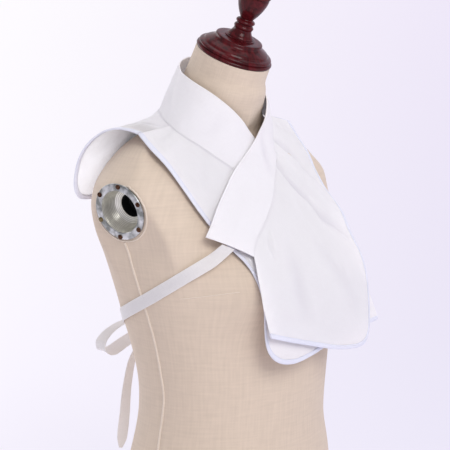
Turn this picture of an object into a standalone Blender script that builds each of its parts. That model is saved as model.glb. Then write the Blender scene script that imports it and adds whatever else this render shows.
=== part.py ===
"""A white crossed false collar, tied behind with tapes, worn on a limbless linen dress form.

Metres, +Z up. The wearer faces -Y and the wearer's left is +X. The origin is on the form's flat base, on its axis.
A Place is out from the middle plane on the side where its piece starts, ahead of the form's axis, and up.
"""

import math
from collections import namedtuple

import bmesh
import bpy
import numpy as np
from mathutils import Matrix, Vector
from mathutils.bvhtree import BVHTree

# Cloth
PANEL_WALL = 0.0012
BAND_WALL = 0.0020
TAPE_WALL = 0.0012
TAPE_WIDTH = 0.0160
BINDING_WIDTH = 0.0070
BINDING_WALL = 0.0010
BINDING_TRIM = 0.0020
BAND_ROLL = 0.0020
SEAM_START = 0.0013
SEAM_GAP = 0.0005
SHOULDER_START = 0.0006
LAY_GAP = 0.0005
REST_GAP = 0.0010
COLUMNS = 9
BAND_COLUMNS = 5
BAND_STATIONS = 30
BAND_EASE = np.array([1.0, 1.0, 1.0, 0.6, 0.0])
INSIDE_POINT = np.array([0.0, 0.0, 0.45])
SHOULDER_STEP = 0.02

# Dress form
FORM_RINGS = 42
FORM_SIDES = 40
FORM_FLATNESS = 1.35
BUST_OUT = 0.078
BUST_UP = 0.372
BUST_RISE = 0.030
BUST_SPREAD = 0.042
BUST_ABOVE = 0.050
BUST_BELOW = 0.040

# Turned neck cap and finial, on the axis of the leaning neck
NECK_TOP = Vector((0.0, -0.003, 0.655))
NECK_LEAN = math.radians(25)
TURNED_SIDES = 24

# Metal arm sockets
SOCKET_CENTRE = Vector((0.180, 0.022, 0.4725))
SOCKET_OUT = Vector((0.963, -0.084, -0.256)).normalized()
FLAT_FROM = 0.365
FLAT_FULL = 0.420
WELL_RADIUS = 0.0292
WELL_DEPTH = 0.0400
SCREW_CIRCLE = 0.0325
SCREW_COUNT = 6
SCREW_TURN = 21
SCREW_SIDES = 8
SCREW_HEAD = 0.0028
SCREW_TOP = 0.0018
SCREW_TALL = 0.0012
SCREW_SEAT = 0.0041

Place = namedtuple("Place", "out front up")
Section = namedtuple("Section", "up back_shift half_width front back front_shape back_shape tilt")
Drape = namedtuple("Drape", "up front half_width shape")
Ruling = namedtuple("Ruling", "row seam edge")
Fold = namedtuple("Fold", "row width depth first last")
Wrap = namedtuple("Wrap", "turn up gap")
Ribbon = namedtuple("Ribbon", "out back up lean width")

# The form's rings from base to neck top: height, shift backwards, reach to each side, squareness and tilt.
FORM_SECTIONS = [
    Section(0.000, 0.004, 0.150, 0.098, 0.112, 2.3, 2.4, 0),
    Section(0.006, 0.004, 0.156, 0.104, 0.118, 2.3, 2.4, 0),
    Section(0.050, 0.003, 0.161, 0.109, 0.123, 2.3, 2.4, 0),
    Section(0.100, 0.0015, 0.155, 0.107, 0.117, 2.2, 2.4, 0),
    Section(0.150, -0.0005, 0.143, 0.105, 0.110, 2.2, 2.3, 0),
    Section(0.190, -0.0015, 0.1345, 0.1035, 0.1055, 2.1, 2.2, 0),
    Section(0.220, -0.0035, 0.132, 0.103, 0.104, 2.1, 2.2, 0),
    Section(0.255, -0.0055, 0.134, 0.1035, 0.104, 2.1, 2.3, 0),
    Section(0.295, -0.0055, 0.1395, 0.105, 0.108, 2.1, 2.5, 0),
    Section(0.330, -0.0045, 0.147, 0.103, 0.1095, 2.1, 2.8, 0),
    Section(0.360, -0.0030, 0.155, 0.099, 0.1105, 2.1, 2.9, 0),
    Section(0.390, -0.0020, 0.165, 0.094, 0.1115, 2.2, 3.0, 0),
    Section(0.415, -0.0010, 0.176, 0.086, 0.1115, 2.2, 3.0, 0),
    Section(0.445, 0.000, 0.188, 0.074, 0.1135, 2.1, 3.1, 0),
    Section(0.475, 0.000, 0.192, 0.0575, 0.118, 1.9, 3.1, 0),
    Section(0.500, 0.0015, 0.188, 0.0465, 0.116, 1.8, 2.9, 0),
    Section(0.520, 0.0060, 0.171, 0.0435, 0.111, 1.6, 2.7, 0),
    Section(0.537, 0.0100, 0.156, 0.0395, 0.102, 1.25, 2.4, 0),
    Section(0.549, 0.0145, 0.142, 0.0385, 0.090, 1.1, 2.2, 0),
    Section(0.558, 0.0190, 0.123, 0.0410, 0.078, 1.05, 2.1, 0),
    Section(0.568, 0.0220, 0.099, 0.0485, 0.068, 1.15, 2.0, 0),
    Section(0.581, 0.0225, 0.078, 0.0535, 0.060, 1.4, 2.0, 0),
    Section(0.596, 0.020, 0.064, 0.0540, 0.054, 1.8, 2.0, 4),
    Section(0.612, 0.0158, 0.0558, 0.0545, 0.051, 2.0, 2.0, 11),
    Section(0.622, 0.0120, 0.0540, 0.0528, 0.0505, 2.0, 2.0, 15),
    Section(0.634, 0.0070, 0.0495, 0.0495, 0.050, 2.0, 2.0, 19),
    Section(NECK_TOP.z, NECK_TOP.y, 0.0485, 0.0485, 0.0485, 2.0, 2.0, 25),
]

# The band's upper edge from the nape to its cut end, on the half that crosses underneath and on the one above it.
# Past the throat, out is negative: the edge is then on the far side.
UNDER_TOP = [
    Place(0.000, -0.0680, 0.6515), Place(0.029, -0.0600, 0.6460), Place(0.0505, -0.0405, 0.6360),
    Place(0.0610, -0.0215, 0.6290), Place(0.0630, -0.0040, 0.6210), Place(0.0580, 0.0110, 0.6120),
    Place(0.0490, 0.0220, 0.6020), Place(0.0350, 0.0300, 0.5890), Place(0.0190, 0.0345, 0.5735),
    Place(0.0000, 0.0345, 0.5545), Place(-0.0300, 0.0375, 0.5310), Place(-0.0550, 0.0430, 0.5140),
    Place(-0.0820, 0.0495, 0.4930), Place(-0.1000, 0.0570, 0.4765), Place(-0.1170, 0.0620, 0.4570),
    Place(-0.1300, 0.0640, 0.4450),
]
OVER_TOP = [
    Place(0.000, -0.0680, 0.6515), Place(0.029, -0.0600, 0.6460), Place(0.0500, -0.0405, 0.6360),
    Place(0.0585, -0.0215, 0.6285), Place(0.0580, -0.0050, 0.6210), Place(0.0517, 0.0087, 0.6120),
    Place(0.0432, 0.0200, 0.6020), Place(0.0330, 0.0295, 0.5900), Place(0.0190, 0.0375, 0.5740),
    Place(-0.0010, 0.0403, 0.5535), Place(-0.0300, 0.0435, 0.5310), Place(-0.0560, 0.0490, 0.5150),
    Place(-0.0830, 0.0565, 0.4930), Place(-0.1025, 0.0625, 0.4765), Place(-0.1232, 0.0695, 0.4565),
    Place(-0.1353, 0.0725, 0.4450),
]
# The seam between the band and the panels, from the nape past the shoulder (sixth place) to the band's end.
UNDER_SEAM = [
    Place(0.000, -0.0855, 0.5915), Place(0.0335, -0.0800, 0.5910), Place(0.0580, -0.0680, 0.5885),
    Place(0.0775, -0.0510, 0.5840), Place(0.0905, -0.0335, 0.5775), Place(0.0970, -0.0170, 0.5700),
    Place(0.0935, 0.0010, 0.5580), Place(0.0835, 0.0175, 0.5465), Place(0.0690, 0.0320, 0.5325),
    Place(0.0504, 0.0440, 0.5174), Place(0.0300, 0.0535, 0.5005), Place(0.0100, 0.0625, 0.4840),
    Place(-0.0100, 0.0705, 0.4705), Place(-0.0300, 0.0775, 0.4585), Place(-0.0500, 0.0835, 0.4465),
    Place(-0.0680, 0.0895, 0.4345), Place(-0.0820, 0.0985, 0.4220),
]
OVER_SEAM = [
    Place(0.000, -0.0855, 0.5915), Place(0.0335, -0.0800, 0.5910), Place(0.0580, -0.0680, 0.5885),
    Place(0.0765, -0.0510, 0.5845), Place(0.0880, -0.0340, 0.5795), Place(0.0925, -0.0180, 0.5735),
    Place(0.0800, -0.0005, 0.5600), Place(0.0645, 0.0115, 0.5495), Place(0.0430, 0.0315, 0.5308),
    Place(0.0265, 0.0465, 0.5155), Place(0.0112, 0.0565, 0.4975), Place(-0.0050, 0.0690, 0.4797),
    Place(-0.0215, 0.0780, 0.4680), Place(-0.0406, 0.0860, 0.4540), Place(-0.0568, 0.0915, 0.4440),
    Place(-0.0729, 0.0970, 0.4320), Place(-0.0853, 0.1050, 0.4190),
]
SHOULDER_PLACE = 5

# The bound edge of each front, from the shoulder down the side, round the corner and along the hem.
UNDER_EDGE = [
    Place(0.1465, -0.0240, 0.5630), Place(0.1490, 0.0010, 0.5410), Place(0.1429, 0.0180, 0.5260),
    Place(0.1378, 0.0290, 0.5110), Place(0.1270, 0.0457, 0.4832), Place(0.1162, 0.0620, 0.4560),
    Place(0.0985, 0.0864, 0.4230), Place(0.0914, 0.0980, 0.4090), Place(0.0872, 0.1068, 0.3950),
    Place(0.0871, 0.1153, 0.3765), Place(0.0875, 0.1208, 0.3580), Place(0.0892, 0.1242, 0.3360),
    Place(0.0880, 0.1270, 0.3140), Place(0.0795, 0.1290, 0.2993), Place(0.0640, 0.1300, 0.2902),
    Place(0.0410, 0.1310, 0.2862), Place(0.0204, 0.1320, 0.2880), Place(-0.0005, 0.1325, 0.2922),
    Place(-0.0202, 0.1325, 0.2967), Place(-0.0600, 0.1315, 0.3045), Place(-0.1000, 0.1295, 0.3095),
    Place(-0.1420, 0.1278, 0.3135),
]
OVER_EDGE = [
    Place(0.1465, -0.0240, 0.5630), Place(0.1465, -0.0080, 0.5420), Place(0.1400, 0.0130, 0.5225),
    Place(0.1342, 0.0290, 0.5020), Place(0.1305, 0.0450, 0.4850), Place(0.1284, 0.0580, 0.4730),
    Place(0.1265, 0.0849, 0.4463), Place(0.1215, 0.1060, 0.4170), Place(0.1180, 0.1214, 0.3909),
    Place(0.1150, 0.1297, 0.3658), Place(0.1132, 0.1345, 0.3372), Place(0.1127, 0.1350, 0.3116),
    Place(0.1080, 0.1362, 0.2965), Place(0.0950, 0.1372, 0.2882), Place(0.0700, 0.1380, 0.2880),
    Place(0.0270, 0.1385, 0.2945), Place(-0.0213, 0.1385, 0.3068), Place(-0.0600, 0.1380, 0.3170),
    Place(-0.0930, 0.1380, 0.3265),
]
# The bound edge of the back, from the shoulder down its side and along the hem to the middle.
BACK_EDGE = [
    Place(0.1465, -0.0240, 0.5630), Place(0.1480, -0.0530, 0.5675), Place(0.1530, -0.0780, 0.5625),
    Place(0.1570, -0.1000, 0.5465), Place(0.1590, -0.1120, 0.5300), Place(0.1590, -0.1190, 0.5120),
    Place(0.1590, -0.1210, 0.4930), Place(0.1515, -0.1215, 0.4800), Place(0.1360, -0.1220, 0.4762),
    Place(0.1000, -0.1240, 0.4755), Place(0.0500, -0.1270, 0.4755), Place(0.0000, -0.1280, 0.4755),
]
BACK_BULGE = 0.006

# How far ahead of the axis a front hangs in the middle at each height, and how it falls away to the sides.
FRONT_DRAPE = [
    Drape(0.280, 0.134, 0.186, 2.7), Drape(0.320, 0.133, 0.186, 2.7), Drape(0.350, 0.130, 0.186, 2.6),
    Drape(0.380, 0.122, 0.186, 2.6), Drape(0.410, 0.107, 0.188, 2.4), Drape(0.440, 0.088, 0.190, 2.2),
    Drape(0.470, 0.070, 0.190, 2.1), Drape(0.500, 0.053, 0.190, 2.0), Drape(0.530, 0.036, 0.185, 2.0),
    Drape(0.570, 0.020, 0.180, 2.0),
]

# A front's rows run from its neck seam to its bound edge: where each starts and ends, as shares of those lines.
OVER_ROWS = [
    Ruling(0.0, 0.0, 0.0), Ruling(0.2, 0.21, 0.195), Ruling(0.4, 0.40, 0.336), Ruling(0.75, 0.68, 0.80),
    Ruling(1.0, 1.0, 1.0),
]
UNDER_ROWS = [Ruling(0.0, 0.0, 0.0), Ruling(1.0, 1.0, 1.0)]
# A fold lies along a row: its half width in rows, its height outwards, and where it starts and ends across.
OVER_FOLDS = [
    Fold(0.20, 0.030, -0.0030, -0.20, 0.90), Fold(0.29, 0.035, 0.0015, 0.00, 1.10),
    Fold(0.40, 0.035, -0.0045, -0.20, 1.15), Fold(0.48, 0.035, 0.0015, 0.00, 1.20),
    Fold(0.75, 0.050, -0.0035, 0.20, 1.00),
]
UNDER_FOLDS = [Fold(0.08, 0.030, 0.0020, 0.10, 1.10), Fold(0.45, 0.050, 0.0018, 0.50, 1.20)]
# Rows that pass the rounded corner, and the number of rows without folds.
OVER_CORNER = (0.575, 0.665)
UNDER_CORNER = (0.550, 0.635)
BACK_CORNER = (0.465, 0.570)
CORNER_ROWS = 5
PLAIN_ROWS = 19
PLAIN_SPACE = 0.030
LEAST_SPACE = 0.012
FOLD_STEPS = (-1.5, -0.7, 0.0, 0.7, 1.5)
# The upper front's opening edge is hollow by this much, and less from row to row away from it.
OPENING_HOLLOW = 0.008
HOLLOW_FADE = 8

# The ties' middle lines round the form: turn from the back in degrees, height, and gap to the form.
TIE_RIGHT_WRAP = [
    Wrap(121, 0.4170, 0.0080), Wrap(111, 0.4000, 0.0030), Wrap(100, 0.3812, 0.0010), Wrap(88, 0.3630, 0.0010),
    Wrap(71, 0.3425, 0.0010), Wrap(50, 0.3250, 0.0010), Wrap(28, 0.3110, 0.0030), Wrap(8.5, 0.3040, 0.0092),
]
TIE_LEFT_WRAP = [
    Wrap(121, 0.4170, 0.0050), Wrap(111, 0.4000, 0.0022), Wrap(100, 0.3812, 0.0010), Wrap(88, 0.3630, 0.0010),
    Wrap(71, 0.3415, 0.0010), Wrap(50, 0.3230, 0.0010), Wrap(28, 0.3100, 0.0030), Wrap(-1.3, 0.3040, 0.0092),
]
TIE_SHARE = (0.345, 0.605)
TIE_STATIONS = 26
OUTSIDE = 0.4

# The bow behind: each free tape's middle line, how its width leans from straight back towards upright, and its width.
BOW_MIDDLE = Vector((-0.0095, 0.1203, 0.3040))
KNOT_SIZE = Vector((0.022, 0.0200, 0.0200))
LOOP_STATIONS = 20
TAIL_STATIONS = 16
LOOP_RIGHT = [
    Ribbon(-0.0092, 0.0020, 0.0045, 0, 0.009), Ribbon(-0.0250, 0.0100, 0.0060, 2, 0.0150),
    Ribbon(-0.0500, 0.0170, 0.0015, 2, 0.016), Ribbon(-0.0735, 0.0190, -0.0075, -4, 0.016),
    Ribbon(-0.0872, 0.0190, -0.0190, -12, 0.016), Ribbon(-0.0868, 0.0180, -0.0288, 2, 0.016),
    Ribbon(-0.0725, 0.0160, -0.0320, 42, 0.016), Ribbon(-0.0510, 0.0140, -0.0245, 62, 0.0155),
    Ribbon(-0.0260, 0.0090, -0.0135, 45, 0.0130), Ribbon(-0.0092, 0.0020, -0.0045, 0, 0.009),
]
LOOP_LEFT = [
    Ribbon(0.0092, 0.0020, 0.0045, 0, 0.009), Ribbon(0.0240, 0.0110, 0.0070, -6, 0.0145),
    Ribbon(0.0450, 0.0180, 0.0050, -10, 0.016), Ribbon(0.0660, 0.0210, -0.0050, -10, 0.016),
    Ribbon(0.0780, 0.0200, -0.0180, -10, 0.016), Ribbon(0.0750, 0.0180, -0.0290, -20, 0.016),
    Ribbon(0.0610, 0.0150, -0.0330, -45, 0.016), Ribbon(0.0420, 0.0130, -0.0270, -60, 0.0155),
    Ribbon(0.0230, 0.0090, -0.0150, -45, 0.0130), Ribbon(0.0092, 0.0020, -0.0045, 0, 0.009),
]
TAIL_RIGHT = [
    Ribbon(-0.0030, 0.0020, -0.0086, 0, 0.009), Ribbon(-0.0170, 0.0080, -0.0230, 30, 0.0135),
    Ribbon(-0.0350, 0.0115, -0.0460, 78, 0.0155), Ribbon(-0.0455, 0.0125, -0.0830, 92, 0.016),
    Ribbon(-0.0525, 0.0110, -0.1200, 104, 0.016), Ribbon(-0.0580, 0.0098, -0.1440, 108, 0.0155),
    Ribbon(-0.0610, 0.0092, -0.1565, 108, 0.0115), Ribbon(-0.0628, 0.0090, -0.1625, 108, 0.0050),
]
TAIL_LEFT = [
    Ribbon(0.0030, 0.0020, -0.0086, 0, 0.009), Ribbon(0.0160, 0.0080, -0.0240, -30, 0.0135),
    Ribbon(0.0290, 0.0110, -0.0500, -60, 0.0155), Ribbon(0.0370, 0.0120, -0.0860, -85, 0.016),
    Ribbon(0.0430, 0.0110, -0.1200, -95, 0.016), Ribbon(0.0460, 0.0095, -0.1400, -95, 0.0155),
    Ribbon(0.0480, 0.0090, -0.1500, -92, 0.0115), Ribbon(0.0490, 0.0090, -0.1550, -90, 0.0050),
]

# Turned profiles in millimetres: radius and height over the neck's top, from the top down.
FINIAL_PROFILE = [
    (0, 116), (4, 115.2), (6.4, 112), (6.6, 108.5), (4.6, 105.5), (4.2, 103.5), (7.5, 101.5), (12, 98), (16.5, 92.5),
    (19, 87), (20.4, 84), (20.4, 81.5), (19.2, 80.5), (19.6, 78), (18.6, 72), (16.4, 65), (13.2, 58), (10, 52.5),
    (8.2, 49.4), (11.2, 47.6), (12.2, 45.4), (10.6, 43.2), (9.9, 42.4), (11.6, 40.6), (12.6, 38.6), (11.6, 36.4),
    (11.8, 34), (13.6, 30.5), (16.4, 27.4), (16.8, 25.6), (0, 25.6),
]
CAP_PROFILE = [
    (0, 25.3), (18, 25.3), (19, 24.2), (21, 23.8), (28.6, 23.4), (30.4, 22), (30.6, 19.6), (32.5, 17.4), (37, 14.8),
    (40.6, 12.6), (42.4, 10.3), (44.6, 9.4), (46.6, 8.2), (47.4, 6.4), (46.6, 4.9), (48.4, 4.2), (49.4, 2.4),
    (48.8, 0.7), (47.8, 0.3), (0, 0.3),
]
# Turned profile of a socket in millimetres: from its blind hole's bottom out over the flange and down its back.
SOCKET_PROFILE = [
    (0, -36.0), (14.6, -36.0), (14.6, -20.5), (17.0, -20.0), (22.0, -17.5), (25.0, -9.0), (26.0, 0.0), (26.8, 2.7),
    (28.5, 3.1), (34.2, 3.0), (35.6, 2.2), (35.6, 0.3), (28.6, 0.3), (28.6, -38.5), (0, -38.5),
]


def rail(points, before=None, measured=(0, 1, 2), fine=16):
    """A smooth line through the points, as a function of the share of its length in the measured columns."""
    p = np.array(points, float)
    first = 2 * p[0] - p[1] if before is None else np.array(before, float)
    padded = np.vstack([first, p, 2 * p[-1] - p[-2]])
    t = np.linspace(0, 1, fine, endpoint=False)[:, None]
    pieces = [
        0.5 * (2 * b + (c - a) * t + (2 * a - 5 * b + 4 * c - d) * t**2 + (3 * b - a - 3 * c + d) * t**3)
        for a, b, c, d in zip(padded, padded[1:], padded[2:], padded[3:])
    ]
    line = np.vstack([*pieces, p[-1:]])
    steps = np.linalg.norm(np.diff(line[:, measured], axis=0), axis=1)
    along = np.concatenate([[0], np.cumsum(steps)]) / steps.sum()
    return lambda share: np.array([np.interp(share, along, line[:, k]) for k in range(p.shape[1])])


def unit(v):
    """The vector at length 1."""
    return v / np.linalg.norm(v)


def placed(side, places):
    """Places on one side as points; side is 1 for the wearer's left and -1 for the right."""
    return [(side * p.out, -p.front, p.up) for p in places]


def material(name, colour, roughness, metallic=0.0):
    made = bpy.data.materials.new(name)
    made.use_nodes = True
    shader = made.node_tree.nodes["Principled BSDF"]
    shader.inputs["Base Color"].default_value = (*colour, 1)
    shader.inputs["Roughness"].default_value = roughness
    shader.inputs["Metallic"].default_value = metallic
    return made


def add_part(name, mesh, material_):
    part = bpy.data.objects.new(name, mesh)
    PARTS.objects.link(part)
    if material_.name not in mesh.materials:
        mesh.materials.append(material_)
    return part


def smooth_shade(part, sharp_deg=40):
    part.data.shade_smooth()
    part.data.set_sharp_from_angle(angle=math.radians(sharp_deg))


def rings_mesh(name, rings, crossed=()):
    """A closed body through rings with the same number of points, capped at both ends.

    The quads that start at a crossed point are split along their other diagonal.
    """
    count = len(rings[0])
    points = [tuple(p) for ring in rings for p in ring]
    faces = []
    for i in range(len(rings) - 1):
        for k in range(count):
            a, b = i * count + k, i * count + (k + 1) % count
            c, d = b + count, a + count
            faces += [(a, b, d), (b, c, d)] if k in crossed else [(a, b, c, d)]
    last = (len(rings) - 1) * count
    faces += [tuple(reversed(range(count))), tuple(range(last, last + count))]
    mesh = bpy.data.meshes.new(name)
    mesh.from_pydata(points, [], faces)
    bm = bmesh.new()
    bm.from_mesh(mesh)
    bmesh.ops.recalc_face_normals(bm, faces=bm.faces)
    bm.to_mesh(mesh)
    bm.free()
    return mesh


def form_point(row, angle):
    """A point of the form's skin; angle 0 is the wearer's left and a quarter turn is the back."""
    s = Section(*row)
    c, d = math.cos(angle), math.sin(angle)
    reach, shape = (s.back, s.back_shape) if d > 0 else (s.front, s.front_shape)
    size = (abs(c / s.half_width) ** shape + abs(d / reach) ** shape) ** (-1 / shape)
    x, y = size * c, size * d
    if d < 0:
        beside = math.exp(-(((abs(x) - BUST_OUT) / BUST_SPREAD) ** 2))
        fall = BUST_ABOVE if s.up > BUST_UP else BUST_BELOW
        y -= BUST_RISE * beside * math.exp(-(((s.up - BUST_UP) / fall) ** 2)) * min(1, -3 * d)
    tilt = math.radians(s.tilt)
    place = Vector((abs(x), s.back_shift + y * math.cos(tilt), s.up + y * math.sin(tilt)))
    beyond = (place - SOCKET_CENTRE).dot(SOCKET_OUT)
    if beyond > 0 and place.x > SOCKET_CENTRE.x / 2:
        outward = Vector((abs(x), y, 0)).normalized()
        share = min(1, max(0, (s.up - FLAT_FROM) / (FLAT_FULL - FLAT_FROM)))
        place -= outward * (share * beyond / outward.dot(SOCKET_OUT))
    place.x = math.copysign(place.x, x)
    return place


def dress_form(linen):
    """The covered torso, with a round well behind each arm socket."""
    rows = rail(FORM_SECTIONS, measured=(0, 2))
    turns = [2 * math.pi * k / FORM_SIDES for k in range(FORM_SIDES)]
    angles = [math.atan2(math.sin(t), FORM_FLATNESS * math.cos(t)) for t in turns]
    rings = [[form_point(rows(i / FORM_RINGS), a) for a in angles] for i in range(FORM_RINGS + 1)]
    form = add_part("dress_form", rings_mesh("dress_form", rings), linen)
    for side in (-1, 1):
        well = bmesh.new()
        bmesh.ops.create_cone(
            well, cap_ends=True, segments=TURNED_SIDES, radius1=WELL_RADIUS, radius2=WELL_RADIUS,
            depth=2 * WELL_DEPTH,
        )
        mesh = bpy.data.meshes.new("socket_well")
        well.to_mesh(mesh)
        well.free()
        cutter = bpy.data.objects.new("socket_well", mesh)
        CUTTERS.objects.link(cutter)
        cutter.hide_render = True
        cutter.display_type = "WIRE"
        cutter.matrix_world = socket_frame(side)
        cut = form.modifiers.new("socket well", "BOOLEAN")
        cut.operation = "DIFFERENCE"
        cut.object = cutter
    smooth_shade(form)
    return rings


def socket_frame(side):
    """The matrix with its origin at a socket's middle on the skin and its Z pointing out of it."""
    mirror = Vector((side, 1, 1))
    out = (SOCKET_OUT * mirror).to_track_quat("Z", "Y").to_matrix().to_4x4()
    return Matrix.Translation(SOCKET_CENTRE * mirror) @ out


def turned(name, profile, frame, material_):
    """A piece turned from a profile in millimetres and placed by a matrix."""
    mesh = bpy.data.meshes.new(name)
    edges = [(i, i + 1) for i in range(len(profile) - 1)]
    mesh.from_pydata([(r / 1000, 0, h / 1000) for r, h in profile], edges, [])
    part = add_part(name, mesh, material_)
    screw = part.modifiers.new("turning", "SCREW")
    screw.steps = TURNED_SIDES
    screw.render_steps = TURNED_SIDES
    screw.use_merge_vertices = True
    screw.merge_threshold = 0.00001
    screw.use_smooth_shade = True
    part.matrix_world = frame


def neck_cap(wood):
    """The turned cap on the neck, with its finial."""
    frame = Matrix.Translation(NECK_TOP) @ Matrix.Rotation(NECK_LEAN, 4, "X")
    turned("neck_cap", CAP_PROFILE, frame, wood)
    turned("finial", FINIAL_PROFILE, frame, wood)


def arm_sockets(steel, brass):
    """A blind turned socket on each arm end, with a ring of screw heads."""
    for side, word in ((-1, "right"), (1, "left")):
        frame = socket_frame(side)
        turned(f"arm_socket_{word}", SOCKET_PROFILE, frame, steel)
        head = bmesh.new()
        bmesh.ops.create_cone(
            head, cap_ends=True, segments=SCREW_SIDES, radius1=SCREW_HEAD, radius2=SCREW_TOP, depth=SCREW_TALL
        )
        mesh = bpy.data.meshes.new(f"socket_screw_{word}")
        head.to_mesh(mesh)
        head.free()
        for k in range(SCREW_COUNT):
            turn = Matrix.Rotation(2 * math.pi * k / SCREW_COUNT + math.radians(SCREW_TURN), 4, "Z")
            screw = add_part(f"socket_screw_{word}_{k + 1}", mesh, brass)
            screw.matrix_world = frame @ turn @ Matrix.Translation((SCREW_CIRCLE, 0, SCREW_SEAT))


def sheet_mesh(name, grid):
    """The grid of points as a mesh of quads."""
    rows, columns = grid.shape[:2]
    quads = [
        (k, k + 1, k + columns + 1, k + columns)
        for i in range(rows - 1)
        for k in range(i * columns, i * columns + columns - 1)
    ]
    mesh = bpy.data.meshes.new(name)
    mesh.from_pydata([tuple(p) for p in grid.reshape(-1, 3)], [], quads)
    return mesh


def grid_normals(grid):
    """The sheet's normals at its points, all to the side away from the form's middle."""
    mesh = sheet_mesh("normals", grid)
    normals = np.array([tuple(n.vector) for n in mesh.vertex_normals]).reshape(grid.shape)
    bpy.data.meshes.remove(mesh)
    return normals * np.sign((normals * (grid - INSIDE_POINT)).sum())


def slab(grid, wall):
    """The outer face of a cloth wall, as points and quads to lay other cloth on."""
    mesh = sheet_mesh("slab", grid + grid_normals(grid) * wall / 2)
    quads = [tuple(face.vertices) for face in mesh.polygons]
    points = [tuple(v.co) for v in mesh.vertices]
    bpy.data.meshes.remove(mesh)
    return points, quads


def tree_of(slabs):
    """One search tree of several slabs."""
    points, quads = [], []
    for some, faces in slabs:
        quads += [tuple(k + len(points) for k in face) for face in faces]
        points += some
    return BVHTree.FromPolygons(points, quads)


def spread(values, take):
    """Each value of a grid with its neighbours: their greatest or their mean."""
    padded = np.pad(values, 1, mode="edge")
    rows, columns = values.shape
    return take([padded[i : i + rows, j : j + columns] for i in range(3) for j in range(3)], axis=0)


def laid_on(grid, tree, gap, ease=1.0, reach=0.025):
    """The grid moved outwards, softly, where it is nearer than the gap to what lies beneath it."""
    normals = grid_normals(grid)
    need = np.zeros(grid.shape[:2])
    for i, j in np.ndindex(need.shape):
        outward = Vector(normals[i, j])
        _, _, _, distance = tree.ray_cast(Vector(grid[i, j]) + outward * reach, -outward, 2 * reach)
        if distance is not None:
            need[i, j] = max(0, reach - distance + gap)
    wide = spread(need, np.max)
    soft = wide
    for _ in range(3):
        soft = np.maximum(wide, spread(soft, np.mean))
    return grid + normals * (soft * ease)[..., None]


def cloth(name, grid, wall, material_):
    """A cloth wall whose middle is the grid."""
    part = add_part(name, sheet_mesh(name, grid), material_)
    solidify = part.modifiers.new("wall", "SOLIDIFY")
    solidify.thickness = wall
    solidify.offset = 0
    smooth_shade(part)


def fold_rise(folds, row, across):
    """How far the folds lift a panel at a row and a share across."""
    rise = 0.0
    for f in folds:
        if f.first < across < f.last:
            along = math.sin(math.pi * (across - f.first) / (f.last - f.first))
            rise += f.depth * along * math.exp(-(((row - f.row) / f.width) ** 2))
    return rise


def panel_rows(corner, folds=()):
    """Rows evenly along a panel, with more round its corner and at each fold's crest and feet."""
    wanted = list(np.linspace(*corner, CORNER_ROWS))
    wanted += [f.row + step * f.width for f in folds for step in FOLD_STEPS]
    plain = np.linspace(0, 1, PLAIN_ROWS)
    wanted += [row for row in plain if min(abs(row - w) for w in wanted) > PLAIN_SPACE]
    rows = [0.0]
    for row in sorted(wanted):
        if rows[-1] + LEAST_SPACE < row < 1 - LEAST_SPACE:
            rows.append(row)
    return rows + [1.0]


def across_shares(length):
    """Shares across a panel from its seam to its bound edge, with the last one as wide as the binding."""
    start = SEAM_START / length
    end = 1 - BINDING_WIDTH / length
    return [start + (end - start) * k / (COLUMNS - 1) for k in range(COLUMNS)] + [1.0]


def draped_front(x, z):
    """How far ahead of the axis a front hangs at a distance from the middle plane and a height."""
    ups = [d.up for d in FRONT_DRAPE]
    front, half_width, shape = (np.interp(z, ups, [d[k] for d in FRONT_DRAPE]) for k in (1, 2, 3))
    return front * max(0.0, 1 - (abs(x) / half_width) ** shape) ** (1 / shape)


def front_grid(side, seam, edge, rulings, rows, folds, hollow):
    """Points of a front panel: rows from the shoulder to its opening edge, each from neck seam to bound edge."""
    places = placed(side, seam)
    inner = rail(places[SHOULDER_PLACE:], places[SHOULDER_PLACE - 1])
    outer = rail(placed(side, edge))
    shoulder = unit(outer(SHOULDER_STEP) - outer(0)) * SHOULDER_START
    grid = []
    for row in rows:
        a = inner(np.interp(row, [r.row for r in rulings], [r.seam for r in rulings]))
        b = outer(np.interp(row, [r.row for r in rulings], [r.edge for r in rulings]))
        if row == 0:
            a, b = a + shoulder, b + shoulder
        start, end = (draped_front(p[0], p[2]) for p in (a, b))
        line = []
        for v in across_shares(np.linalg.norm(b - a)):
            p = a + (b - a) * v
            p[0] -= side * hollow * row**HOLLOW_FADE * math.sin(math.pi * v)
            p[1] -= draped_front(p[0], p[2]) - (1 - v) * start - v * end
            line.append(p)
        grid.append(line)
    grid = np.array(grid)
    rises = [[fold_rise(folds, row, v) for v in np.linspace(0, 1, COLUMNS + 1)] for row in rows]
    return grid + grid_normals(grid) * np.array(rises)[..., None]


def back_grid():
    """Points of the back panel, from the right shoulder round the nape to the left."""
    halves = []
    for side, seam in ((-1, UNDER_SEAM), (1, OVER_SEAM)):
        places = placed(side, seam)
        inner = rail(places[SHOULDER_PLACE::-1])
        outer = rail(placed(side, BACK_EDGE))
        shoulder = unit(outer(SHOULDER_STEP) - outer(0)) * SHOULDER_START
        half = []
        for share in panel_rows(BACK_CORNER):
            a, b = inner(share), outer(share)
            if share == 0:
                a, b = a + shoulder, b + shoulder
            half.append([a + (b - a) * v for v in across_shares(np.linalg.norm(b - a))])
        halves.append(half)
    grid = np.array(halves[0] + halves[1][-2::-1])
    across = np.linspace(0, 1, COLUMNS + 1)
    along = np.linspace(0, math.pi, len(grid))
    bulge = BACK_BULGE * np.abs(np.sin(along))[:, None] * np.sin(math.pi * across)[None, :]
    return grid + grid_normals(grid) * bulge[..., None]


def seam_line(side, seam, panel):
    """The seam from the nape to the shoulder, and then along a front panel that has been laid in its place."""
    line = placed(side, seam[:SHOULDER_PLACE])
    return line + [a + unit(a - b) * SEAM_START for a, b in zip(panel[:, 0], panel[:, 1])]


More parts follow.
